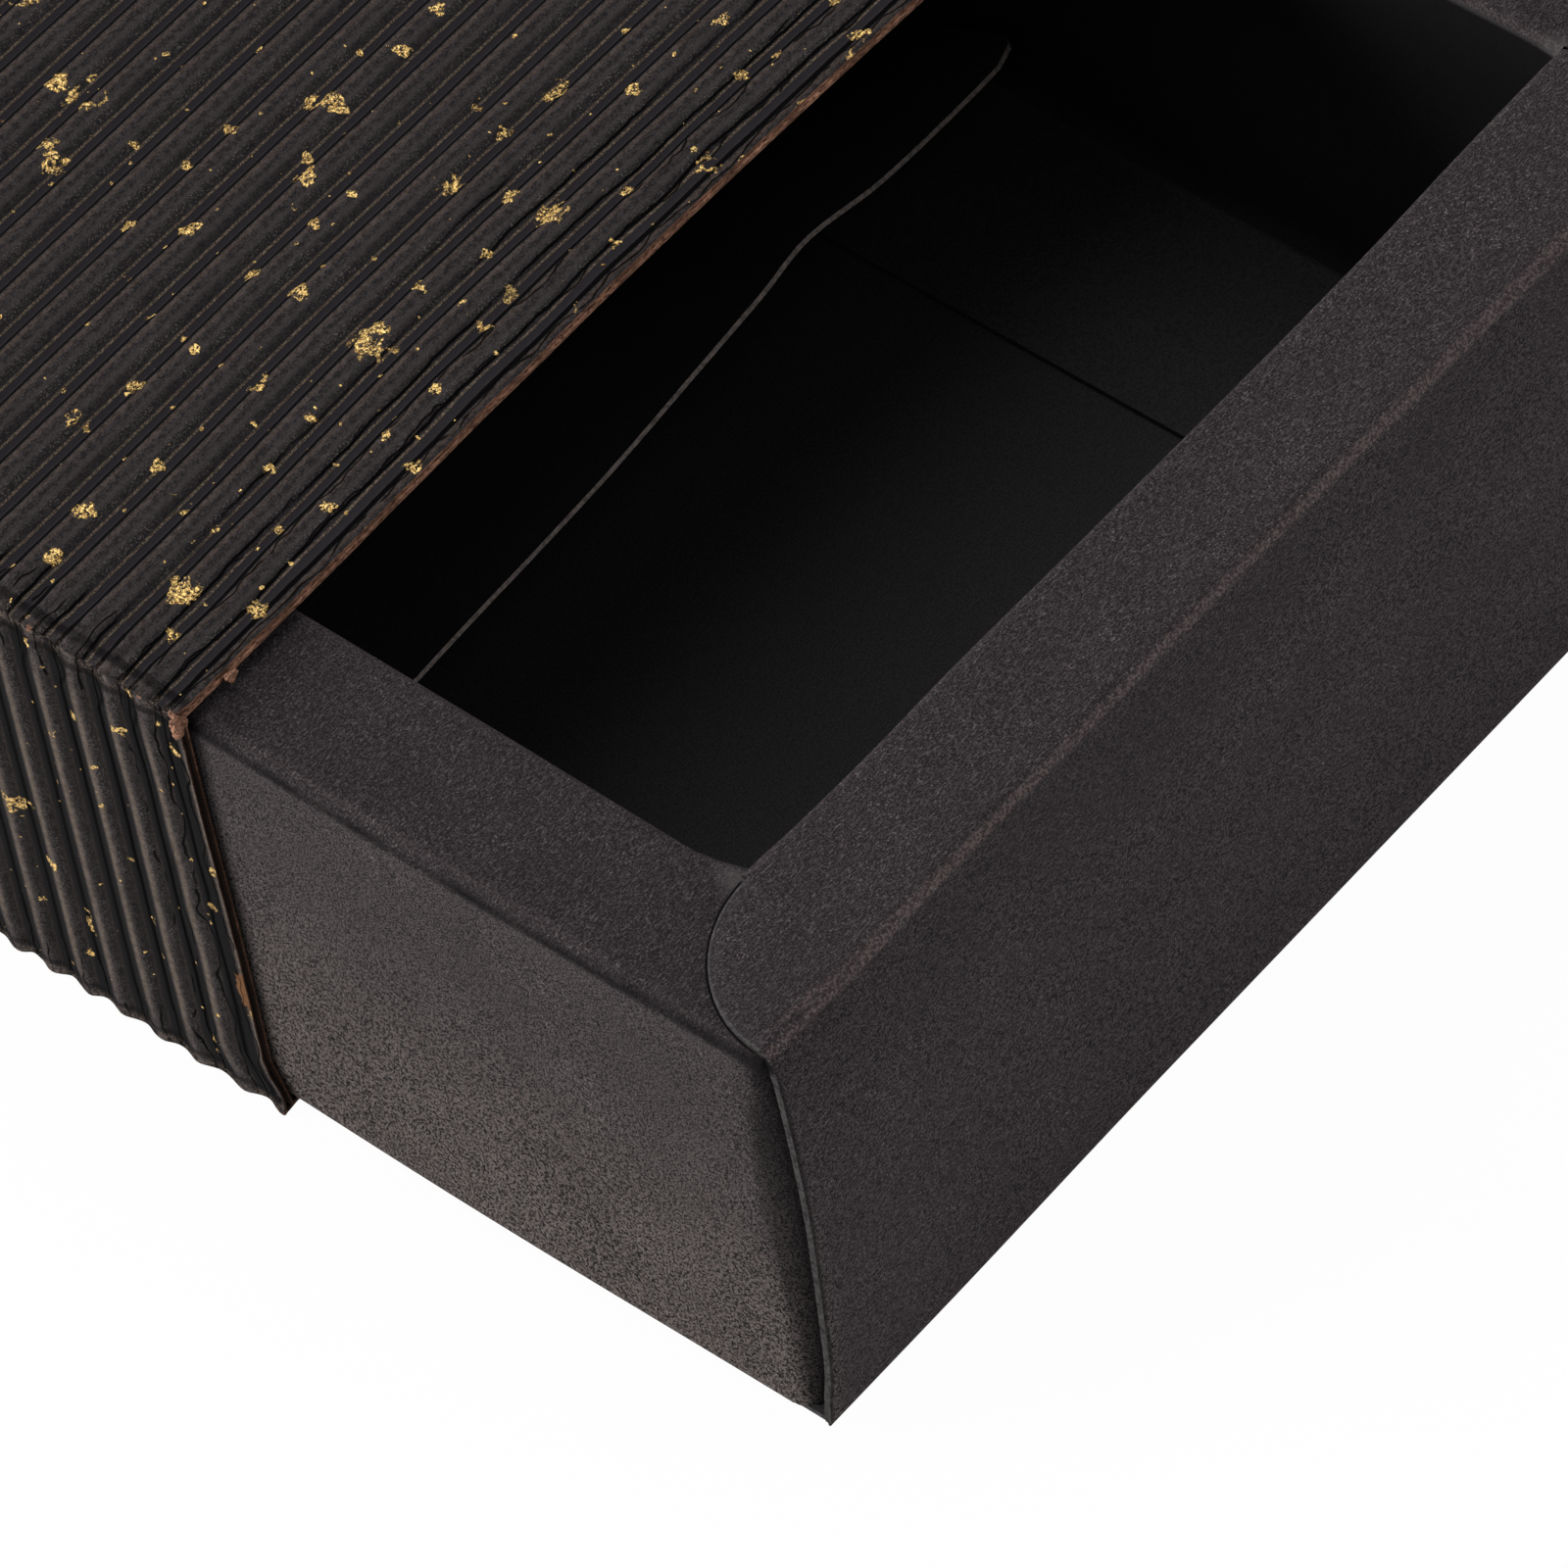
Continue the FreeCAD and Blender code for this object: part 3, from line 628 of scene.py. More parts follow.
def taper(x, y, z):  # the floor flap narrows, and its corners are rounded; the tabs narrow too
    if z < 3 and x > 0.5 - drawer["wing"]:
        reach = (x + drawer["wing"]) / sideFolds["flap"]
        halfSpan = (drawer["far"] - drawer["near"]) / 2
        corner = max(0.0, reach - sideTaper["cornerFrom"]) / (1 - sideTaper["cornerFrom"])
        cut = sideTaper["corner"] * (1 - math.sqrt(max(0, 1 - corner ** 2)))
        wide = halfSpan - sideTaper["gap"] - sideTaper["narrow"] * reach - cut
        y = drawer["middle"] + (y - drawer["middle"]) * wide / halfSpan
    elif fromEnd(y) < 0.6 and z < 40 and x > -52:
        reach = (x + sideTaper["tabStart"]) / sideFolds["tab"]
        last = max(0.0, reach - sideTaper["tabEndFrom"]) / (1 - sideTaper["tabEndFrom"])
        middle = (drawer["bottom"] + drawer["top"]) / 2
        z = middle + (z - middle) * (1 - sideTaper["tabNarrow"] * reach - sideTaper["tabEnd"] * last)
    return x, y, z


leftPanel = foldSide("leftPanel")
print("side panel", len(leftPanel.data.vertices), "points")
lineInside(leftPanel)
bend(leftPanel, taper)
rightPanel = twin(leftPanel, "rightPanel")
bpy.ops.transform.resize(value=(-1, 1, 1), center_override=(0, 0, 0))
settle()
bpy.ops.object.mode_set(mode="EDIT")
weld(rightPanel, (1, 0, 0))

sideForm = {"out": (0.34, 0.12), "proud": 0.16, "pull": 0.30, "swing": {"left": 1.15, "right": 0.20},
            "ripple": 0.09, "sag": 0.12, "tuck": 0.19, "spring": 0.85, "wave": 0.04}


def sideBow(x, y, z):
    side = math.copysign(1, x)
    inFromSide, inFromEnd = fromSide(x), fromEnd(y)
    free = hump(y, drawer["front"] - 2, drawer["back"] + 2)
    most, less = sideForm["out"]
    out = (most - less * ease(z, 2, 40)) * hump(y, -98, -26) * fade(inFromSide, 1, 8)
    out -= sideForm["proud"] * hump(z, 36.2, 40.4) * fade(inFromSide, 0.8, 1.6)  # the scored fold stands proud
    pull = sideForm["pull"] * hump(y, -90, -10) * ease(inFromSide, 4, 11) * ease(z, 6, 38)
    pull += sideForm["swing"]["left" if x < 0 else "right"] * fade(inFromEnd, 10.8, 14.8) \
        * ease(inFromSide, 8, 11) * ease(z, 30, 39)  # its inner corner swings in
    ripple = sideForm["ripple"] * wander(y / 21, z / 18, 4.4 * side) * ease(z, 3, 12) * free
    sag = sideForm["sag"] * free * hump(inFromSide, 1, 11.6) * ease(z, 38, 40.5)
    tuck = sideForm["tuck"] * fade(inFromEnd, 10.5, 13.5) * ease(z, 39, 40.8)  # pressed down under the ears
    past = min(max((y - drawer["front"] - drawer["card"]) / sideFolds["corner"], 0), 1)
    spring = sideForm["spring"] * springOut(x, z) * fade(inFromSide, -6, cornerSpring["reach"]) * (1 - past)
    wave = sideForm["wave"] * wander(x / 9, y / 15, 5) * ease(z, 36, 40)
    return x + side * (out + ripple - pull), y - spring, z - sag - tuck + wave


def floorBow(x, y, z):  # the floor's edges follow the walls' feet
    out = sideForm["out"][0] * hump(y, -98, -26) * ease(abs(x), 44, 54.4)
    return x + math.copysign(out, x), y - footBelly(x) * fade(y - drawer["front"], 1, 12), z


bend(leftPanel, sideBow)
bend(rightPanel, sideBow)
trayFloor = startGrid("trayFloor", (24, 20), (0, drawer["middle"], drawer["bottom"]),
                      (2 * (drawer["half"] - drawer["sideIn"] - sideFolds["bottom"]),
                       drawer["back"] - drawer["front"] - 2 * endFolds["bottom"]))
weld(trayFloor, (0, 0, -1))
bend(trayFloor, floorBow)
giveFinishes(trayFloor, trayCard, cutEdge, insideCard)

# how dark the painted shade is at each place
shades = {"sideFold": 0.74, "underFold": 0.26, "sideEdge": 0.21, "roundEnd": 0.66, "endLine": 0.32,
          "notch": 0.96, "sideRim": 0.11, "sideInside": (0.50, 0.38), "cutEdge": 0.72, "endInside": 0.55,
          "endTop": (0.16, 0.05)}


def foldWear(x, y, z):  # 1 on the outer folds, fading within a millimetre
    sides, ends = fromSide(x), fromEnd(y)
    atEnd = ends < sides
    near = min(max(ends, 0), max(sides, 0))
    top = drawer["top"] - z if atEnd else drawer["top"] - drawer["card"] - z
    rolledBy = 0.85 * fade(sides, 1.5, 10) if atEnd else 0
    crest = math.hypot(max(near - rolledBy - 0.1, 0), max(top - 0.1, 0))
    inner = math.hypot(abs(near - drawer["rim"]), max(top, 0))
    foot = math.hypot(near, z - drawer["bottom"])
    fold = 1.10 - abs(crest - 0.52) / 0.40 if atEnd else 0.50 - abs(near - 0.85) / 0.50 - max(top - 0.5, 0) * 2
    return min(1.0, max(0.0, fold, 0.35 * (1 - inner / 0.9), 0.5 * (1 - foot / 0.9)))


def sideGrainAndLight(x, y, z):  # the side walls' rougher grain, with painted light: paler towards the bottom where the floor's light bounces up, and painted shade just under the fold
    return fade(fromSide(x), 0.5, 1.6) * (1 - 0.80 * ease(z, 2, 37)) * (1 - 0.8 * ease(z, 37.5, 39.8))


def foldShade(x, y, z):  # painted shade: a dark band just under the side's scored fold, in the deep of its rounded ends, in the notch under the ear, on the rim and on the inner walls
    inFromSide, inFromEnd = fromSide(x), fromEnd(y)
    crease = (shades["sideFold"] * hump(z, 39.6, 40.85) + shades["underFold"] * hump(z, 38.8, 41.7)) \
        * fade(inFromSide, 0.7, 1.5) * (0.8 + 0.4 * wander(y / 5, 1.7, x / 50)) \
        + shades["sideEdge"] * ease(z, 4, 37) * fade(z, 38.6, 39.6) * fade(inFromSide, 0.5, 1.2)
    swell = springOut(x, z) if y < drawer["middle"] else 0
    near = inFromEnd + 0.45 + 1.0 * ease(z, 34.5, 37.5) + 0.6 * fade(z, 8, 22)
    corner = shades["roundEnd"] * fade(near, 2.5, 3.4) + shades["endLine"] * fade(inFromEnd + swell, 0.7, 1.6)
    corner *= fade(z, 39.0, 40.3) * ease(z, 1.4, 1.8)
    notch = shades["notch"] * fade(inFromEnd, 1.2, 2.3) * fade(abs(z - 40.2), 0.7, 1.5)
    onRim = shades["sideRim"] if z > 39.8 and 1.3 < inFromSide < drawer["rim"] - 0.4 else 0.0
    least, most = shades["sideInside"]
    inside = least + most * ease(z, 14, 34) if inFromSide > drawer["rim"] - 0.4 and 3.2 < z < 40 else 0.0
    return max(crease, corner, notch, onRim, inside)


def frayed(x, y, z):  # pale fibres where the side rim's inner corner was cut
    near = math.hypot(fromSide(x) - 11.0, fromEnd(y) - 11.6)
    return 0.9 * bell(near, 0.9) * ease(z, 39.5, 40.4)


def wallShade(x, y, z):
    inFromEnd, down = fromEnd(y), drawer["top"] - z
    if abs(x) > abs(trimmed(drawer["half"], z)) - 0.27 and inFromEnd < 2 and z < 40:  # the walls' cut edges
        return shades["cutEdge"]
    if inFromEnd > drawer["rim"] - 1.0 and 3.2 < z < 40.4:
        return shades["endInside"]
    most, least = shades["endTop"]
    return (most * fade(down, 3, 16) + least) * fade(inFromEnd, 0.9, 1.5) * ease(down, 0.7, 1.6)


for piece, shade, replaced in (
        (frontPanel, wallShade, ("front_outer_wall", "front_rim", "front_inner_wall")),
        (backPanel, wallShade, ("back_outer_wall", "back_rim", "back_inner_wall")),
        (leftPanel, foldShade, ("left_outer_wall", "left_rim", "left_inner_wall", "left_floor_flap",
                                "front_left_corner_tab", "back_left_corner_tab")),
        (rightPanel, foldShade, ("right_outer_wall", "right_rim", "right_inner_wall", "right_floor_flap",
                                 "front_right_corner_tab", "back_right_corner_tab")),
        (trayFloor, unpainted, ("tray_base",))):
    thicken(piece, drawer["card"], 1, 2 if piece is trayFloor else 0)
    for face in piece.data.polygons:  # a rim that started from the inner faces counts on past the last finish
        if face.material_index > 2:
            face.material_index = 1
    paint(piece, "rubbed", foldWear)
    if shade is foldShade:
        paint(piece, "bare", frayed)
    paint(piece, "grainyAndLit", sideGrainAndLight)
    paint(piece, "shaded", shade)
    smoothOver(piece)
    dress(piece, "drawer", replaced)
print("drawer panels folded")

# raise: how far the back flap stands up, in degrees, from its left end to its right
endFlap = {"depth": 21.0, "taper": 1.5, "corner": 3.0, "gap": 0.5, "hinge": 2.95, "grid": (60, 22),
           "crushed": 0.20, "follow": (-184, 43.5),
           "raise": ((-42.9, 19.5), (-27, 21.9), (-7.7, 24.6), (12, 29.2), (17.5, 31.0), (25.5, 28.6),
                     (36, 28.4), (42.9, 29.5))}


def looseFlap(name, hingeY, way, liftAt):  # way: +1 reaches backwards from its crease, -1 forwards
    wide = drawer["wing"] - endFlap["gap"]
    depth, rounding = endFlap["depth"], endFlap["corner"]
    piece = startGrid(name, endFlap["grid"], (0, hingeY + way * depth / 2, 0), (2 * wide, depth))
    weld(piece, (0, 0, 1))

    def shape(x, y, z):
        reach = abs(y - hingeY) / depth
        corner = max(0.0, reach - (1 - rounding / depth)) * depth / rounding
        x *= (wide - endFlap["taper"] * reach - rounding * (1 - math.sqrt(max(0, 1 - corner ** 2)))) / wide
        angle = math.radians(liftAt(x) + 0.5 * wander(x / 13, reach * 2, 2.2))
        run = reach * depth
        return x, hingeY + way * run * math.cos(angle), endFlap["hinge"] + run * math.sin(angle)

    bend(piece, shape)
    giveFinishes(piece, insideCard, flapEdge)
    thicken(piece, drawer["card"], 1)
    upper = len(piece.data.vertices) // 2
    for point in piece.data.vertices[upper:]:  # the cut has crushed the free edge thinner from below
        reach = math.hypot(point.co.y / mm - hingeY, point.co.z / mm - endFlap["hinge"]) / depth
        point.co.z += endFlap["crushed"] * mm * ease(reach, 0.93, 0.99)
    for layer in ("rubbed", "grainyAndLit", "shaded"):
        paint(piece, layer, unpainted)
    smoothOver(piece)
    return piece


frontFlap = looseFlap("frontFloorFlap", drawer["near"], 1, lambda x: 0.4 + 0.3 * wander(x / 30, 1, 1))
dress(frontFlap, "front_flap", ("front_floor_flap",))
backFlap = looseFlap("backFloorFlap", drawer["far"], -1, lambda x: along(x, endFlap["raise"]))
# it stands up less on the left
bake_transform(backFlap)
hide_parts("back_floor_flap")
print("floor flaps made")

flute = {"pitch": 3.41, "first": -43.48, "count": 25,  # their spacing, where the first one's groove starts
         "across": (0, 0.03, 0.07, 0.14, 0.19, 0.24, 0.31, 0.40, 0.50, 0.60, 0.70, 0.78, 0.85, 0.93, 1)}

# where each band lies across a flute, as a share of its spacing counted backwards from its front groove
# lit, unlit, pale, litBrow and dip paint light and shade across a flute; floor is partly painted shade; shadowBlack and
# crease are painted shadow; dots carry painted glints
topBands = {"crest": 0.80, "floor": (0.055, 0.115), "dots": 0.180, "fuzz": (0.20, 0.30, 0.42, 0.55),
            "rubbed": (0.735, 0.065, 0.36), "shadowBlack": (0.872, 0.072), "crease": (0.27, 0.15), "litBrow": 0.455,
            "dip": 0.61, "browed": 0.26, "pinch": 0.0, "pale": (0.46, 0.78), "hairs": (1, 6, 6), "line": 0.0,
            "lit": (0.20, 0.62, 0.79, 0.83, 0.45), "unlit": (0.0120, 0.0105, 0.0108), "fuzzed": 0.30,
            "arris": 0.35, "leaf": 1.0}
sideBands = {"crest": 0.62, "floor": (0.16, 0.15), "dots": 0.30, "fuzz": (0.30, 0.40, 0.52, 0.60),
             "rubbed": (0.585, 0.125, 0.34), "shadowBlack": (0.06, 0.05), "crease": (0.02, 0.10), "litBrow": 0.5,
             "dip": 0.6, "browed": 0.0, "pinch": 0.30, "pale": (0.30, 0.60), "hairs": (6, 1, 6), "line": 1.0,
             "lit": (0.13, 0.56, 0.62, 0.77, 1.0), "unlit": (0.0062, 0.0058, 0.0060), "fuzzed": 0.0,
             "arris": 0.75, "leaf": 0.70}
# litBrow is painted light, floor partly painted shade, shadowBlack painted shadow
paperLook = {"tone": (0.0640, 0.0550, 0.0555), "deep": (0.0195, 0.0170, 0.0176), "fuzz": (0.090, 0.080, 0.078),
             "fuzzed": (0.0085, 0.0078, 0.0082), "litBrow": (0.110, 0.096, 0.094), "arris": (0.170, 0.130, 0.105),
             "ridge": (0.20, 0.155, 0.115), "kraft": (0.100, 0.066, 0.042), "floor": (0.0300, 0.0278, 0.0330),
             "shadowBlack": (0.0016, 0.0015, 0.0016), "gold": (1.0, 0.70, 0.26), "goldShade": (0.33, 0.17, 0.045),
             "torn": (0.20, 0.095, 0.045), "tornDeep": (0.05, 0.027, 0.017)}
paperNoises = {  # size in mm, detail, roughness
    "grain": (0.14, 3, 0.65), "mottle": (0.5, 3, 0.6), "blotch": (4.2, 3), "sparks": (0.13, 0),
    "beads": (0.13, 1), "ragged": (1.1, 3, 0.6), "bites": (1.5, 2, 0.6), "crumbs": (0.27, 3, 0.8),
    "glint": (0.15, 2, 0.6)}
leafSizes = {  # cell, least and greatest reach, chance, raggedness and shift, all but the chance in mm
    "large": (11.0, 0.7, 1.75, 0.85, 3.0, 0), "small": (5.4, 0.25, 0.85, 0.62, 1.8, 31.7),
    "dust": (2.6, 0.06, 0.22, 0.42, 0.8, 57.3)}


def flutedFinish(name, bands):  # black kraft over the flutes, rubbed on its crests, with sprinkled gold leaf; light and shade across the flutes painted in
    finish = Finish(name)
    rise, fall, mix = finish.rise, finish.fall, finish.mix
    spread = finish.node("Attribute", {"attribute_name": "spread"}, out="Vector")
    flat = finish.split(spread)
    run = (flat.out("Y") - flute["first"] * mm) / (flute["pitch"] * mm)
    number = finish.node("Math", {"operation": "FLOOR"}, {0: run})
    share, edge = run - number, flat.out("Z")

    def waver(length, row, detail, rough=0.5):  # a noise along the flutes, another for each of them
        return finish.noise(plain, detail, rough, at=finish.node(
            "CombineXYZ", None, {0: flat.out("X") / (length * mm), 1: row}))

    def band(middle, width, soft=0.5):
        return fall(abs((share - middle + 0.5).fraction() - 0.5) / width, 1 - soft, 1.0)

    def within(low, full, fadeFrom, end):
        return rise(share, low, full) * fall(share, fadeFrom, end)

    def nearRims(low, high, reach):  # 1 at the front mouth and at the panel's long edges
        return rise(0 - flat.out("Y"), low * mm, high * mm).atLeast(
            fall(edge, 1.5 * mm, reach * mm) * 0.9)

    wave, some = waver(7, number * 5.37, 4, 0.6), waver(11, number * 3.1 + 40, 1)
    near, pressed = nearRims(24, 43, 9), nearRims(35, 42, 8)
    grain, mottle, blotch, sparks, beads, ragged, bites, crumbs, glint = finish.noises(paperNoises)
    hairs = finish.noise(0.45, 2, 0.6, (0, 0, 0), bands["hairs"])
    blotch, beads = rise(blotch, 0.36, 0.64), rise(beads, 0.42, 0.62)

    fuzzy = within(*bands["fuzz"])
    fuzz = rise(sparks, 0.56, 0.72) * fuzzy * (0.20 + blotch * 0.70)
    # dots: fibres worn along the crests, with painted glints where they catch the light
    dots = band(bands["dots"], 0.038) * (0.20 + beads * 0.80) * (0.45 + some * 0.9) * (1 - bands["line"] * 0.9)
    middle, wide, strong = bands["rubbed"]
    rubbed = band(middle, wide, 0.9) * (0.45 + mottle * 0.9) * strong * rise(edge, 0.5 * mm, 6 * mm) \
        * (0.55 + some * 0.7)
    # the groove floor's darker tone, partly painted shade
    ground = band(*bands["floor"], 0.25)
    pinch = rise(edge, 0.2 * mm, 1.6 * mm) * fall(edge, 1.8 * mm, 4.6 * mm) * bands["pinch"] \
        * (0.4 + some)
    # painted shadow: a black line in each groove
    middle, wide = bands["shadowBlack"]
    shadowBlack = band(middle + (wave - 0.5) * 0.05 - pinch, wide + pinch * 0.12, 0.4) * (0.92 + near * 0.08)
    # painted shadow in the creases near the mouths and the long edges
    middle, swing = bands["crease"]
    crease = band(middle + (wave - 0.5) * 2 * swing, 0.030 + near * 0.012, 0.6) \
        * rise(near + (some - 0.5) * 1.6, 0.35, 0.75)
    # painted shadow along wrinkles, most near the mouths
    drawn = finish.node("Mapping", None, {"Vector": spread, "Scale": (0.42, 1, 1)})
    drift, where = finish.noise(4.0, 2, at=drawn), finish.noise(3.1, 1, at=spread)
    wrinkle = fall(abs((run * 1.9 + (drift - 0.5) * 1.15).fraction() - 0.5) / 0.055, 0.35, 1.0) \
        * rise(where + pressed * 0.55, 0.86, 0.98)
    # painted light: paler up the slope to the crest
    pale = rise(share, *bands["pale"]) * fall(share, bands["crest"], bands["crest"] + 0.03)
    mixed = (grain - 0.5) * 0.5 + (hairs - 0.5) * 0.35 + (mottle - 0.5) * 0.3
    # painted shade outside the lit band, lifted on the lit brow and deepened at the dip
    *lit, depth = bands["lit"]
    unlit = (1 - within(*lit)) * depth
    unlit = (unlit * (1 - band(bands["litBrow"], 0.120, 0.9) * bands["browed"] * 3.5)
             + band(bands["dip"], 0.07, 0.9) * bands["browed"]).atMost(0.985)
    arris = fall(edge + (mottle - 0.5) * mm, 0.15 * mm, 1.1 * mm) * beads * rise(mottle, 0.40, 0.62) \
        * bands["arris"]
    torn = finish.painted("torn")

    def flakes(size, low, high, chance, raggedness, shift):  # leaf fragments in some of the cells
        moved = finish.node("VectorMath", {"operation": "MULTIPLY_ADD"},
                            {0: ragged.out("Color"), 1: (raggedness * mm,) * 3, 2: spread})
        moved = finish.node("VectorMath", {"operation": "ADD"}, {0: moved, 1: (shift * mm, shift * mm, 0)})
        cell = finish.node("TexVoronoi", {"voronoi_dimensions": "2D"}, {
            "Vector": moved, "Scale": 1 / (size * mm)})
        chosen = finish.node("SeparateColor", None, {0: cell.out("Color")})
        wanted = rise(chosen.out("Red"), 1 - chance, 1 - chance + 0.02)
        reach = (low + chosen.out("Green") ** 1.6 * (high - low)) * bands["leaf"] / size
        return fall(cell.out("Distance") / reach, 0.8, 1.0) * wanted

    large, small, dust = (flakes(*row) for row in leafSizes.values())
    leaf = (large * rise(bites, 0.45, 0.50)).atLeast(small).atLeast(dust)
    gold = leaf * rise(crumbs, 0.46, 0.50)
    glint = rise(glint, 0.37, 0.57) * (0.45 + bands["leaf"] * 0.55)
    tone = finish.coat(
        mix(rise(mixed / 0.11, -0.5, 0.5) * (0.62 + pale * 0.38), paperLook["deep"], paperLook["tone"]),
        (band(bands["litBrow"], 0.105, 0.9) * bands["browed"], paperLook["litBrow"]),
        (ground * 0.8, paperLook["floor"]),
        (unlit, bands["unlit"]),
        (fuzzy * bands["fuzzed"], paperLook["fuzzed"]),
        (fuzz.atMost(1.0), paperLook["fuzz"]),
        (rubbed.atMost(1.0), paperLook["ridge"] if bands["line"] else paperLook["kraft"]),
        (dots.atMost(1.0), paperLook["ridge"]),
        # painted shadow in the grooves, creases and wrinkles; the next coat paints a black line along the pressed
        # corners
        (shadowBlack.atLeast(crease).atLeast(wrinkle * 0.9), paperLook["shadowBlack"]),
        (arris.atMost(1.0), paperLook["arris"]),
        (fall(abs(edge - 0.9 * mm) / (0.45 * mm), 0.3, 1.0) * 0.6, paperLook["shadowBlack"]),
        (rise(torn + (mottle - 0.5) * 1.1, 0.42, 0.58),
         mix(hairs, paperLook["tornDeep"], paperLook["torn"])),
        (gold, mix(glint, paperLook["goldShade"], paperLook["gold"])))
    height = grain * 0.6 + hairs * 0.5 + mottle * 0.3 + gold * 1.6 + glint * gold * 1.5 \
        - crease * 3.0 - shadowBlack * 1.5 - wrinkle * 2.5 + dots * 1.2
    return finish.surface(tone, (0.58 + grain * 0.16) * (1 - gold * 0.40), 0.012, height, 0.06, gold * 0.62)


kraftLook = {"pale": (0.54, 0.285, 0.185), "dark": (0.075, 0.038, 0.026), "sideShade": (0.030, 0.016, 0.010),
             "seam": (0.004, 0.003, 0.003), "sideShadeUpTo": (40.6, 42.0), "seamAt": (55.40, 0.20)}


def kraftFinish():  # unbleached layers where the board is cut or torn
    finish = Finish("kraftEdge")
    layers = finish.noise(0.5, 4, 0.7, (0, 0, 0), (1, 3, 3))
    stain = finish.rise(finish.noise(3.0, 2), 0.35, 0.7)
    place = finish.split(finish.place)
    low = finish.fall(place.out("Z"), *metres(kraftLook["sideShadeUpTo"]))
    middle, wide = metres(kraftLook["seamAt"])
    seam = finish.fall(abs(abs(place.out("X")) - middle) / wide, 0.6, 1.0)
    paleness = finish.rise(layers, 0.36, 0.62) * (0.35 + stain * 0.65)
    tone = finish.coat(
        finish.mix(paleness, kraftLook["dark"], kraftLook["pale"]),
        (low * 0.72, kraftLook["sideShade"]),  # painted shade on the sides, below the top, with a dark seam between the layers
        (seam * low * 0.9, kraftLook["seam"]))
    return finish.surface(tone, 0.82, 0.05, layers, 0.08)


linerLook = {"deep": (0.012, 0.011, 0.011), "tone": (0.024, 0.021, 0.020), "bands": 46.65}


def linerFinish():  # the sleeve's smooth black inside, with the flutes showing through
    finish = Finish("linerPaper")
    grain = finish.noise(0.3, 3, 0.6)
    wave = finish.node("TexWave", {"bands_direction": "Y"}, {
        "Vector": finish.place, "Scale": linerLook["bands"], "Distortion": 0.6, "Detail": 1.0}, "Fac")
    band = finish.rise(abs(wave - 0.5), 0.2, 0.5)
    tone = finish.mix(grain * 0.7 + band * 0.3, linerLook["deep"], linerLook["tone"])
    return finish.surface(tone, 0.72, 0.08, grain * 0.5 + band * 0.4, 0.04)


flutedTop = flutedFinish("flutedTop", topBands)
flutedSide = flutedFinish("flutedSide", sideBands)
kraftEdge = kraftFinish()
linerPaper = linerFinish()
print("paper finishes made")

sleeve = {"half": 55.35, "low": 0.75, "high": 42.15, "mouth": 45.0, "liner": 0.3, "sheet": 0.32, "relief": 0.55,
          "bowUp": 1.05, "bowBack": 0.40, "bowReach": 17.0, "foot": 1.25,
          "bow": ((-56, 0), (-48, 0.03), (-40, 0.22), (-33, 0.60), (-24.7, 0.97), (-14.6, 0.90), (-4.5, 0.68),
                  (6, 0.50), (16, 0.34), (30, 0.14), (56, 0)),
          "lipBack": ((-56, 0.50), (-44, 0.55), (-36, 0.34), (-28, 0.05), (-20, 0.0), (-12, 0.22), (0, 0.42),
                      (12, 0.42), (30, 0.25), (56, 0.3))}
sleeveMiddle = (sleeve["low"] + sleeve["high"]) / 2
tall = (sleeve["high"] - sleeve["low"]) / 2
crush = {"corner": (0.40, 0.15, 0.09), "cornerShift": 0.30, "press": 0.45, "mouthFlat": 0.30, "lip": 0.45,
         "least": 0.12, "dents": 0.018, "shift": (0.10, 0.34, 0.34), "ragged": (0.20, 0.10, 0.06),
         "torn": (-8.5, 3.4)}
# columns in from an edge, in mm
edgeStations = (0.0, 0.16, 0.36, 0.62, 0.95, 1.35, 1.8, 2.3, 2.9, 3.6, 4.5, 5.7)
bandSteps = (0.12, 0.18, 0.25, 0.25, 0.20)  # shares of the flat band at each mouth


def lobe(share, bands):  # a flute's height over its groove: a floor, a long rounded front, a steep back
    floor, crest = sum(bands["floor"]), bands["crest"]
    if share <= floor:
        return 0.0
    if share < crest:
        front = 1 - (1 - (share - floor) / (crest - floor)) ** 2.0
        return 0.10 * ease(share, floor, floor + 0.04) + 0.90 * front
    return 1 - ((share - crest) / (1 - crest)) ** 1.35


def mouthBow(x, y):  # the top's front edge stands up a little, left of its middle
    return along(x, sleeve["bow"]) * bell(y + sleeve["mouth"], sleeve["bowReach"])


def mouthBack(x, y):  # and it isn't cut quite straight
    return along(x, sleeve["lipBack"]) * fade(y + sleeve["mouth"], 0, 9)


def mouthFoot(y, z):  # the bottom reaches further out than the sides do
    return -sleeve["foot"] * fade(z, 1.2, 5.0) * fade(y + sleeve["mouth"], 0, 9)


def cornerHeight(y, seed):  # how far a pressed corner stands off the liner, the same for both its panels
    least, beating, wandering = crush["corner"]
    beat = math.cos(2 * math.pi * ((y - flute["first"]) / flute["pitch"] - 0.62))
    return least + beating * beat + wandering * wander(y / 1.1, seed, 3.3)


def cornerShift(y, seed):
    return crush["cornerShift"] * wander(y / 2.3, seed * 3.7, 8.1)


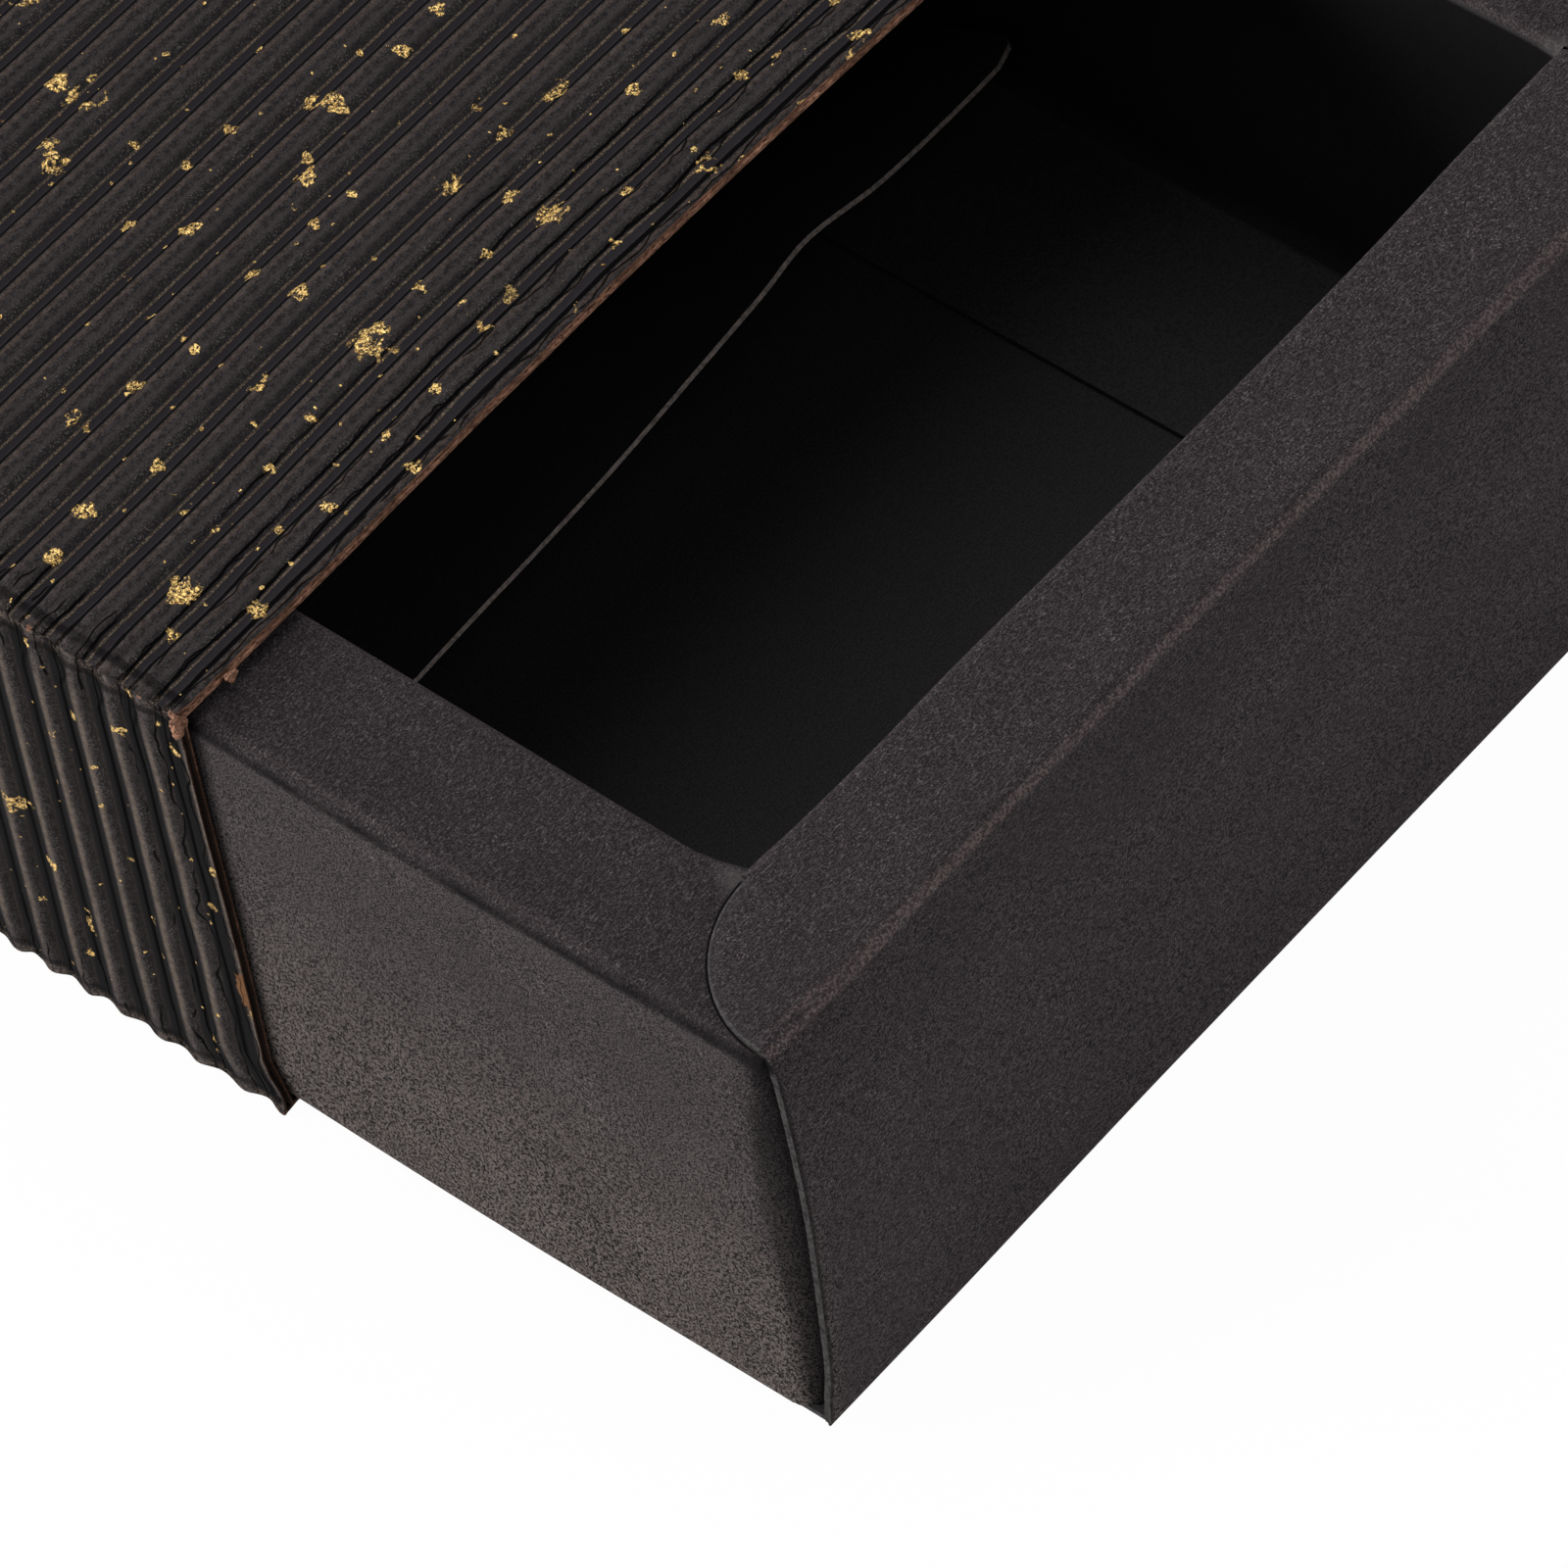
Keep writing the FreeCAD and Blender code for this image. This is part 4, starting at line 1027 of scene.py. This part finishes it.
def flutedSheet(name, half, bands):  # a flat sheet of flutes, its columns closer at the long edges
    reach = half - edgeStations[-1]
    steps = round(2 * reach / 1.5)
    stations = [place - half for place in edgeStations]
    stations += [2 * reach * k / steps - reach for k in range(1, steps)]
    stations += [half - place for place in reversed(edgeStations)]
    pitch, first, count, across = flute.values()
    piece = startGrid(name, (len(stations) - 1, len(across) - 1), (0, first + pitch / 2, 0), (2 * half, pitch))
    bpy.ops.object.mode_set(mode="OBJECT")
    for number, point in enumerate(piece.data.vertices):  # one flute, its points drawn together where it bends
        row, column = divmod(number, len(stations))
        height = sleeve["sheet"] + sleeve["relief"] * lobe(across[row], bands)
        point.co = Vector((stations[column], first + pitch * across[row], height)) * mm
    pickOnly(piece)
    array = piece.modifiers.new("row", "ARRAY")
    array.use_relative_offset, array.use_constant_offset = False, True
    array.constant_offset_displace, array.count = (0, pitch * mm, 0), count
    array.use_merge_vertices, array.merge_threshold = True, 0.01 * mm
    bpy.ops.object.modifier_apply(modifier="row")
    bpy.ops.object.mode_set(mode="EDIT")
    for start, end in ((first, -sleeve["mouth"]), (first + pitch * count, sleeve["mouth"])):
        pickLine(piece, "y", start)
        drawOut(*[(0, (end - start) * step, 0) for step in bandSteps])
    weld(piece, (0, 0, 1))
    return piece


def flutedPanel(name, half, seed, corners, bands, isTop):
    sheet, relief = sleeve["sheet"], sleeve["relief"]
    isWide, isLeft = half > 30, corners[1] == 1
    piece = flutedSheet(name, half, bands)
    layer = piece.data.attributes.new("spread", "FLOAT_VECTOR", "POINT")
    layer.data.foreach_set("vector", [number for point in piece.data.vertices for number in (
        point.co.x + seed * 7 * mm, point.co.y, half * mm - abs(point.co.x))])

    def crumple(x, y, z):
        edge, mouth, corner = half - abs(x), sleeve["mouth"] - abs(y), corners[0 if x < 0 else 1]
        height = cornerHeight(y, corner)
        pressed = bell(mouth, 6.5)  # 1 at the mouths' last flutes
        press = crush["press"] * bell(edge, 1.6) * (1.0 + 0.6 * wander(y / 1.9, corner, 6))
        flat = 1 - crush["mouthFlat"] * pressed * (1 + 0.9 * wander(x / 8, y / 3, seed))
        uneven = 0.95 + 0.12 * wander(x / 19, y / 3.1, seed + 2)
        share = (y - flute["first"]) / flute["pitch"]
        if not 0 <= share <= flute["count"]:  # the bands at the mouths keep a little of the next flute
            z = sheet + crush["lip"] * relief * lobe(share % 1, bands) * ease(mouth, 0, 1.2)
        lift = sheet + (z - sheet) * max(crush["least"], (1 - press) * flat * uneven)
        lift += crush["dents"] * wander(x / 1.6, y / 0.9, seed + 4)
        broad, atMouth, atEdge = crush["shift"]
        shift = (broad * wander(x / 15, y / 5, seed) + atMouth * pressed * wander(x / 6.5, y / 3.6, seed + 5)
                 + atEdge * math.exp(-edge / 3.0) * wander(x / 1.7, y / 1.6, seed + 9)) \
            * (ease(edge, 0, 2.4) * ease(mouth, 0.1, 3.0))
        shift += cornerShift(y, corner) * bell(edge, 1.5) * ease(mouth, 0.1, 3.0)
        lift = height + (lift - height) * ease(edge, 0, 0.95)
        x += math.copysign(height * fade(edge, 0, 0.95), x)
        if isTop:
            bow = mouthBow(x, y)
            lift += sleeve["bowUp"] * bow
            shift += sleeve["bowBack"] * bow + mouthBack(x, y)
        elif isLeft:  # its upper end follows the top
            shift += mouthBack(-56, y) * ease(x, half - 30, half)
        if not isTop:
            shift += mouthFoot(y, 0 if isWide else sleeve["low"] + half + (x if isLeft else -x))
        least, long, short = crush["ragged"]  # the sheet ends short of the liner
        ragged = least + long * wander(x / 0.8, seed, 2) + short * wander(x / 0.35, seed, 5)
        shift -= math.copysign(ragged, y) * fade(mouth, 0, 0.5)
        return x, y + shift, lift

    def tornAt(x, y, z):  # one bare spot at the left side's mouth
        middle, reach = crush["torn"]
        return 1.2 * hump(x, middle - reach, middle + reach) * fade(sleeve["mouth"] + y, 0.35, 1.5)

    paint(piece, "torn", tornAt if isLeft else unpainted)
    bend(piece, crumple)
    giveFinishes(piece, flutedTop if isWide else flutedSide, kraftEdge)
    thicken(piece, sheet - 0.03, 1)
    return piece


def setOn(piece, turn, centre):  # turns a panel that was made lying flat and puts it on its side of the sleeve
    pickOnly(piece)
    bpy.ops.transform.rotate(value=-math.radians(turn), orient_axis="Y", center_override=(0, 0, 0))
    bpy.ops.transform.translate(value=Vector(centre) * mm)
    settle()


# each panel's half width, seed, the corners it shares, bands, turn and place
for side, half, seed, corners, bands, turn, centre in (
        ("top", sleeve["half"], 11, (1, 2), topBands, 0, (0, 0, sleeve["high"])),
        ("left", tall, 23, (3, 1), sideBands, -90, (-sleeve["half"], 0, sleeveMiddle)),
        ("right", tall, 37, (2, 4), sideBands, 90, (sleeve["half"], 0, sleeveMiddle)),
        ("bottom", sleeve["half"], 51, (4, 3), topBands, 180, (0, 0, sleeve["low"]))):
    panel = flutedPanel(side + "Fluting", half, seed, corners, bands, turn == 0)
    setOn(panel, turn, centre)
    smoothOver(panel, 60)
    dress(panel, "sleeve", (side + "_fluted_facing",))
    print(panel.name, len(panel.data.polygons), "faces")


def pickRuns(piece, axis):  # every edge that runs along one axis for more than 10 mm
    pick(piece, "edges", lambda edge: abs((edge.verts[0].co - edge.verts[1].co)["xyz".index(axis)]) > 10 * mm)


def linerBow(x, y, z):
    if z < sleeve["high"] - 0.5:
        return x, y + (mouthBack(-56, y) * ease(z, 12, 42) if x < 0 else 0) + mouthFoot(y, z), z
    bow = mouthBow(x, y)
    return x, y + sleeve["bowBack"] * bow + mouthBack(x, y), z + sleeve["bowUp"] * bow


restart()
bpy.ops.mesh.primitive_cube_add(size=1, location=(0, 0, sleeveMiddle * mm))
liner = named("sleeveLiner")
liner.scale = Vector((2 * sleeve["half"], 2 * sleeve["mouth"], 2 * tall)) * mm
settle()
bpy.ops.object.mode_set(mode="EDIT")
pick(liner, "faces", lambda face: abs(face.normal.y) > 0.9)
bpy.ops.mesh.delete(type="ONLY_FACE")
pickRuns(liner, "y")
bpy.ops.mesh.bevel(offset=0.35 * mm, segments=2, affect="EDGES")
for axis, cuts in (("y", 44), ("x", 50), ("z", 10)):
    pickRuns(liner, axis)
    bpy.ops.mesh.subdivide(number_cuts=cuts)
restart()
bend(liner, linerBow)
giveFinishes(liner, kraftEdge, linerPaper)
thicken(liner, sleeve["liner"], 0, 1)
smoothOver(liner)
dress(liner, "sleeve", ("top_liner", "bottom_liner", "left_liner", "right_liner"))

frays = {  # crushed kraft fibre left by the knife at the mouth: middle, size and seed
    "nub": ((-50.83, -44.95, 42.30), (0.50, 0.34, 0.36), 1.0),
    "knotOuter": ((-56.10, -44.72, 42.35), (0.52, 0.42, 0.62), 4.0),
    "knotInner": ((-55.70, -44.80, 42.25), (0.42, 0.36, 0.40), 7.0),
    "knotLow": ((-56.20, -44.75, 41.75), (0.34, 0.36, 0.55), 9.0)}
for name, (middle, size, seed) in frays.items():
    restart()
    bpy.ops.mesh.primitive_ico_sphere_add(subdivisions=4, radius=1 * mm)
    piece = named(name)
    piece.scale = size
    settle()

    def ruffle(x, y, z):
        swell = 1 + 0.55 * wander(x * 2.1 + seed, y * 2.1, z * 2.1) + 0.30 * wander(x * 5 + seed, y * 5, z * 5)
        return [centre + offset * swell for centre, offset in zip(middle, (x, y, z))]

    bend(piece, ruffle)
    smoothOver(piece, 50)
    giveFinishes(piece, kraftEdge)
    dress(piece, "sleeve")

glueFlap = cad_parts["sleeve_glue_flap"]
glueFlap.data.materials.clear()
giveFinishes(glueFlap, linerPaper)
print("sleeve made")

studio = {"floorTone": (0.90, 0.90, 0.90), "floorDust": (0.82, 0.82, 0.82), "veil": 0.972, "world": 0.24}
lamps = {  # place and aim in metres, size, watts and colour
    "keyLeft": ((-1.10, 0.98, 0.42), (0, -0.02, 0.02), (0.9, 0.7), 33, (1.0, 0.985, 0.96)),
    "topSoft": ((0.1, 0.35, 1.6), (0, 0, 0), (1.2, 1.2), 10.3, (0.98, 0.98, 1.0)),
    "frontFill": ((0.9, -1.6, 0.7), (0, -0.02, 0.02), (1.2, 0.9), 10.4, (1, 0.99, 1.0))}
view = {"place": (-362.10, -439.96, 638.67), "azimuth": 42.185, "elevation": 50.911, "roll": 10.044,
        "lens": 271.27}


def floorFinish():  # white to the camera, but it keeps part of the shadow
    finish = Finish("floor")
    tone = finish.mix(finish.noise(40, 2) * 0.1, studio["floorTone"], studio["floorDust"])
    finish.surface(tone, 0.9)
    glow = finish.node("Emission", None, {"Color": (1, 1, 1, 1), "Strength": 1.0})
    lit = finish.node("MixShader", None, {
        0: finish.seen() * studio["veil"], 1: Feed(finish, finish.shader), 2: glow})
    finish.feed(finish.tree.nodes["Material Output"].inputs["Surface"], lit)
    return finish.owner


restart()
bpy.ops.mesh.primitive_plane_add(size=8)
floor = named("studioFloor")
giveFinishes(floor, floorFinish())

sky = Graph(bpy.data.worlds.new("studioWorld"))
bpy.context.scene.world = sky.owner
ground = sky.tree.nodes["Background"]
sky.feed(ground.inputs["Color"], (1, 1, 1, 1))
sky.feed(ground.inputs["Strength"], sky.seen() * (1 - studio["world"]) + studio["world"])

for name, (place, aim, size, power, tone) in lamps.items():
    restart()
    bpy.ops.object.light_add(type="AREA", location=place)
    light = named(name)
    light.rotation_euler = (Vector(aim) - Vector(place)).to_track_quat("-Z", "Y").to_euler()
    light.data.shape, light.data.size, light.data.size_y = "RECTANGLE", size[0], size[1]
    light.data.energy, light.data.color = power, tone

azimuth, elevation, roll = (math.radians(view[key]) for key in ("azimuth", "elevation", "roll"))
forward = Vector((math.sin(azimuth) * math.cos(elevation), math.cos(azimuth) * math.cos(elevation),
                  -math.sin(elevation)))
level = Vector((math.cos(azimuth), -math.sin(azimuth), 0))
across = level * math.cos(roll) - level.cross(forward) * math.sin(roll)
bpy.ops.object.camera_add()
camera = bpy.context.object
camera.matrix_world = Matrix((across, across.cross(forward), -forward)).transposed().to_4x4()
camera.location = Vector(view["place"]) * mm
camera.data.lens, camera.data.sensor_width, camera.data.clip_start = view["lens"], 36, 0.01
bpy.context.scene.camera = camera
bpy.context.scene.view_settings.view_transform = "Standard"
print("studio set")
